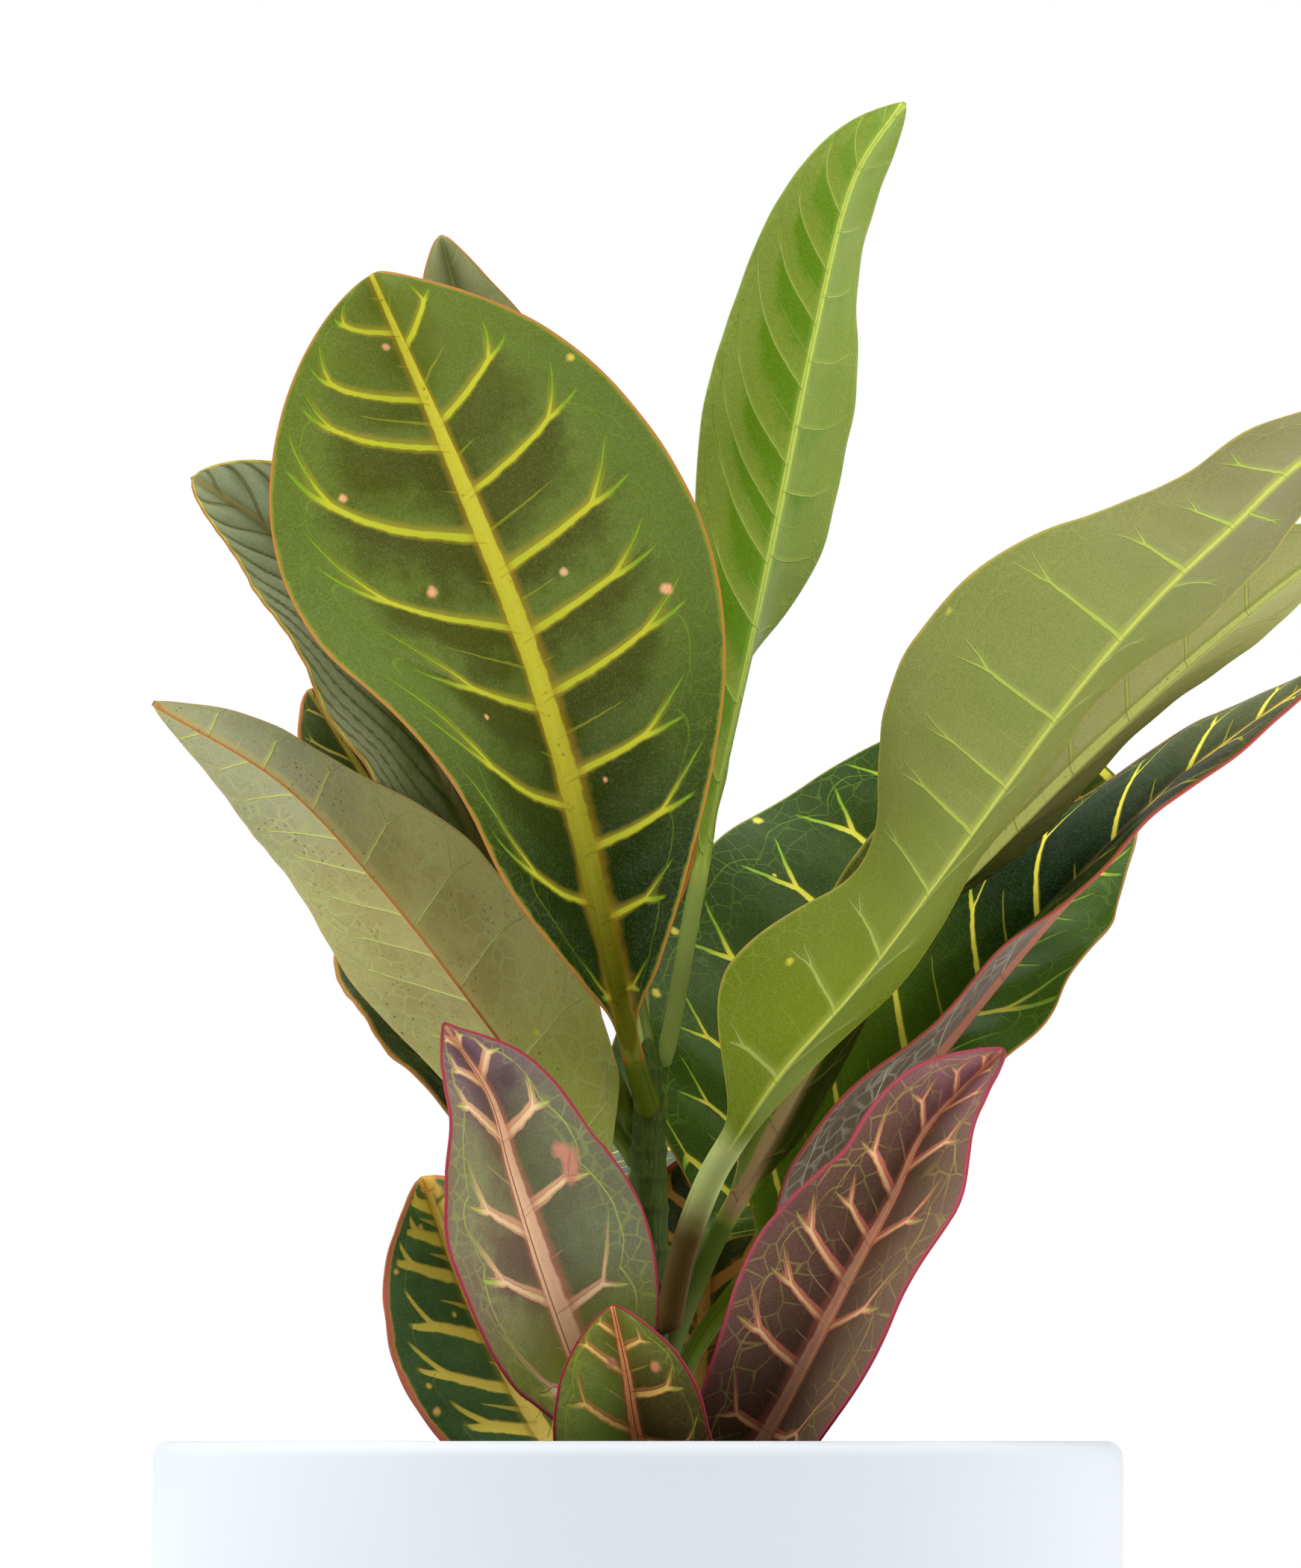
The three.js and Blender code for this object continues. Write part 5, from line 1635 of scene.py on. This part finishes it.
# Broad back right leaf
# The broad dark green leaf that fans out behind the others on the right, with forked yellow veins, small
# yellow patches and a thin yellow-green edge. Its stalk leaves the back of the stem.
broad_back_leaf = {
    "node": "leaf_broad_back_right", "base": 1, "face": (-0.2, -1, 0.6),
    "path": [(2.5, 3, 156), (10, 16, 159), (18.5, 28, 169.5), (28.5, 40, 186), (43, 47, 202),
             (58, 50, 217.5), (72.5, 50, 230)],
    "half": 35.5, "swell": (0.64, 0.49), "left": (35, 41, 24, 7, 21), "right": (5, 20, 29, 30, 24),
    "camber": 0.06, "wave": (0.9, 4, 1.4), "stalk": 1.6,
    "veins": {
        "left": (0.1, 0.2, 0.3, 0.425, 0.572, 0.7, 0.79, 0.89),
        "right": (0.1, 0.2, 0.32, 0.45, 0.57, 0.69, 0.8, 0.9),
    },
    "sweep": {"left": (-0.05, 0.0), "right": (0.3, 0.3)},
    "quilt": 0.6,
}
fan_network = {**dark_network, "Vein width": 1.1, "Vein reach": 0.7, "Fork": 0.42, "Halo width": 0.6}
fan_paint = {
    **dark_paint,
    "Ground": (50, 73, 14), "Patches": (64, 90, 23), "Outer ground": (55, 80, 19),
    "Right ground": (83, 125, 17), "Base ground": (71, 99, 26), "Tip ground": (54, 78, 18),
    "Vein": (246, 236, 84), "Vein end": (150, 196, 56), "Halo": (150, 170, 50), "Rib": (216, 214, 84),
    "Rib base": (150, 156, 60), "Rib edge": (120, 136, 46), "Inner margin": (104, 124, 40),
    "Margin": (150, 156, 56),
    "Right amount": 0.8, "Margin width": 0.2, "Inner margin width": 0.3,
}
yellow_patch = (240, 226, 90)
fan_dabs = [
    (0.4, -0.93, 0.9, yellow_patch), (0.47, -0.97, 0.8, yellow_patch), (0.3, -0.95, 1.0, yellow_patch),
    (0.62, -0.96, 1.0, yellow_patch), (0.55, -0.72, 0.5, yellow_patch),
]
fan_upper = painted("fan_leaf_upper", fan_network, fan_paint, 19, broad_back_leaf, fan_dabs)
grow_leaf("broad_back_leaf", broad_back_leaf, fan_upper, olive_under)


# Low back leaf
# A small old blade low behind the stem, nearly black-green with large orange-yellow patches and a red edge.
# It rises behind the stem from a short stalk just above the soil.
low_back_leaf = {
    "node": "leaf_low_back", "base": 1, "face": (0, -1, 0),
    "path": [(3.6, 2.2, 119), (6, 22, 126), (9, 32, 141), (10, 37, 157), (10, 37.5, 173)],
    "half": 16.5, "swell": (0.7, 0.55), "left": (35,) * 5, "right": (35,) * 5,
    "camber": 0.06, "wave": (0.5, 3, 0.3), "stalk": 1.3,
    "veins": even_veins(6, 0.12, 0.94),
    "sweep": {"left": (0.5, 0.3), "right": (0.5, 0.3)},
}
patched_paint = {
    **bold_paint,
    "Ground": (35, 47, 8), "Patches": (73, 79, 18), "Outer ground": (47, 57, 12),
    "Right ground": (40, 50, 10), "Base ground": (50, 52, 14), "Tip ground": (36, 42, 10),
    "Vein": (194, 140, 64), "Vein end": (170, 130, 60), "Halo": (150, 104, 50), "Rib": (196, 150, 74),
    "Rib base": (190, 156, 84), "Rib edge": (130, 100, 44), "Inner margin": (170, 110, 56),
    "Margin": (164, 70, 58),
}
rust_yellow = (190, 130, 62)
patched_dabs = [
    (0.83, 0.35, 2.4, rust_yellow), (0.46, 0.1, 3.0, rust_yellow), (0.64, 0.4, 2.2, rust_yellow),
    (0.93, -0.3, 2.0, rust_yellow),
]
patched_upper = painted("patched_leaf_upper", bold_network, patched_paint, 20, low_back_leaf, patched_dabs)
grow_leaf("low_back_leaf", low_back_leaf, patched_upper, dusky_under)


# Tall rear leaf
# The tallest leaf of the plant's far side, where leaves of the same kinds go on round the stem. It is green
# with yellow veins, as the big front leaf is. The five rear leaves share one plain form.
rear_form = {
    "base": 1, "swell": (0.75, 0.55), "left": (25,) * 5, "right": (25,) * 5, "camber": 0.06, "stalk": 1.5,
    "veins": even_veins(9),
    "sweep": {"left": (0.5, 0.4), "right": (0.5, 0.4)},
}
tall_rear_leaf = {
    **rear_form, "node": "leaf_rear_tall", "face": (0, -1, 0.5), "half": 21, "wave": (1, 3, 0.8),
    "path": [(2.8, 2.4, 178.5), (-1, 21, 198), (-5.5, 38, 226), (-10, 47, 254), (-15, 50, 283)],
}
mature_upper = painted("mature_leaf_upper", front_network, front_paint, 21)
grow_leaf("tall_rear_leaf", tall_rear_leaf, mature_upper, olive_under)


# Rear right leaf
# A dark blade held out behind the broad back leaf, with yellow forked veins. Its stalk grows from the back
# of the stem and turns to the right.
rear_right_leaf = {
    **rear_form, "node": "leaf_rear_right", "face": (-0.4, -1, 1), "half": 18, "wave": (1, 3, 1.8),
    "path": [(1.9, 3.1, 151), (0.5, 34, 172), (13, 58, 188), (27, 76, 197), (38, 88, 207)],
}
rear_dark_upper = painted("rear_dark_leaf_upper", fan_network, fan_paint, 22)
grow_leaf("rear_right_leaf", rear_right_leaf, rear_dark_upper, olive_under)


# Rear middle leaf
# The leaf that reaches straight back, nearly level, dark green with yellow veins. Its stalk grows from the
# back of the stem.
rear_middle_leaf = {
    **rear_form, "node": "leaf_rear_middle", "face": (0, -0.6, 1), "half": 20, "wave": (0.9, 3, 2.8),
    "path": [(-0.3, 3.2, 145.5), (-6, 32, 166), (-7, 60, 172), (-9, 84, 177), (-12, 101, 178)],
    "left": (20,) * 5, "right": (0, 0, 5, 10, 10), "veins": even_veins(8),
}
rear_bold_upper = painted("rear_bold_leaf_upper", {**bold_network, "Vein width": 1.0}, bold_paint, 23)
grow_leaf("rear_middle_leaf", rear_middle_leaf, rear_bold_upper, olive_under)


# Rear left leaf
# A green leaf with yellow veins, painted as the tall rear leaf is. Its stalk leans back and to the left.
rear_left_leaf = {
    **rear_form, "node": "leaf_rear_left", "face": (0.3, -1, 1), "half": 19, "wave": (0.8, 3, 0.5),
    "path": [(-0.4, 3, 164.5), (-9.5, 30, 176), (-21, 50, 190), (-32, 64, 206), (-43, 74, 222)],
    "stalk": 1.4, "sweep": {"left": (0.6, 0.4), "right": (0.6, 0.4)},
}
grow_leaf("rear_left_leaf", rear_left_leaf, mature_upper, olive_under)


# Low rear leaf
# The lowest leaf of the far side, old and maroon like the two low ones in front. Its stalk leaves the stem
# just above the soil.
low_rear_leaf = {
    **rear_form, "node": "leaf_rear_low", "face": (0.2, -1, 0.8), "half": 16, "wave": (0.6, 3, 1.1),
    "path": [(0.3, 3, 127), (-6, 30, 137), (-12, 50, 147), (-17, 64, 158), (-20, 74, 168)],
    "stalk": 1.4, "veins": even_veins(7), "sweep": {"left": (0.5, 0.3), "right": (0.5, 0.3)},
}
rear_maroon_upper = painted("rear_maroon_leaf_upper", salmon_network, maroon_paint, 24)
grow_leaf("low_rear_leaf", low_rear_leaf, rear_maroon_upper, dusky_under)
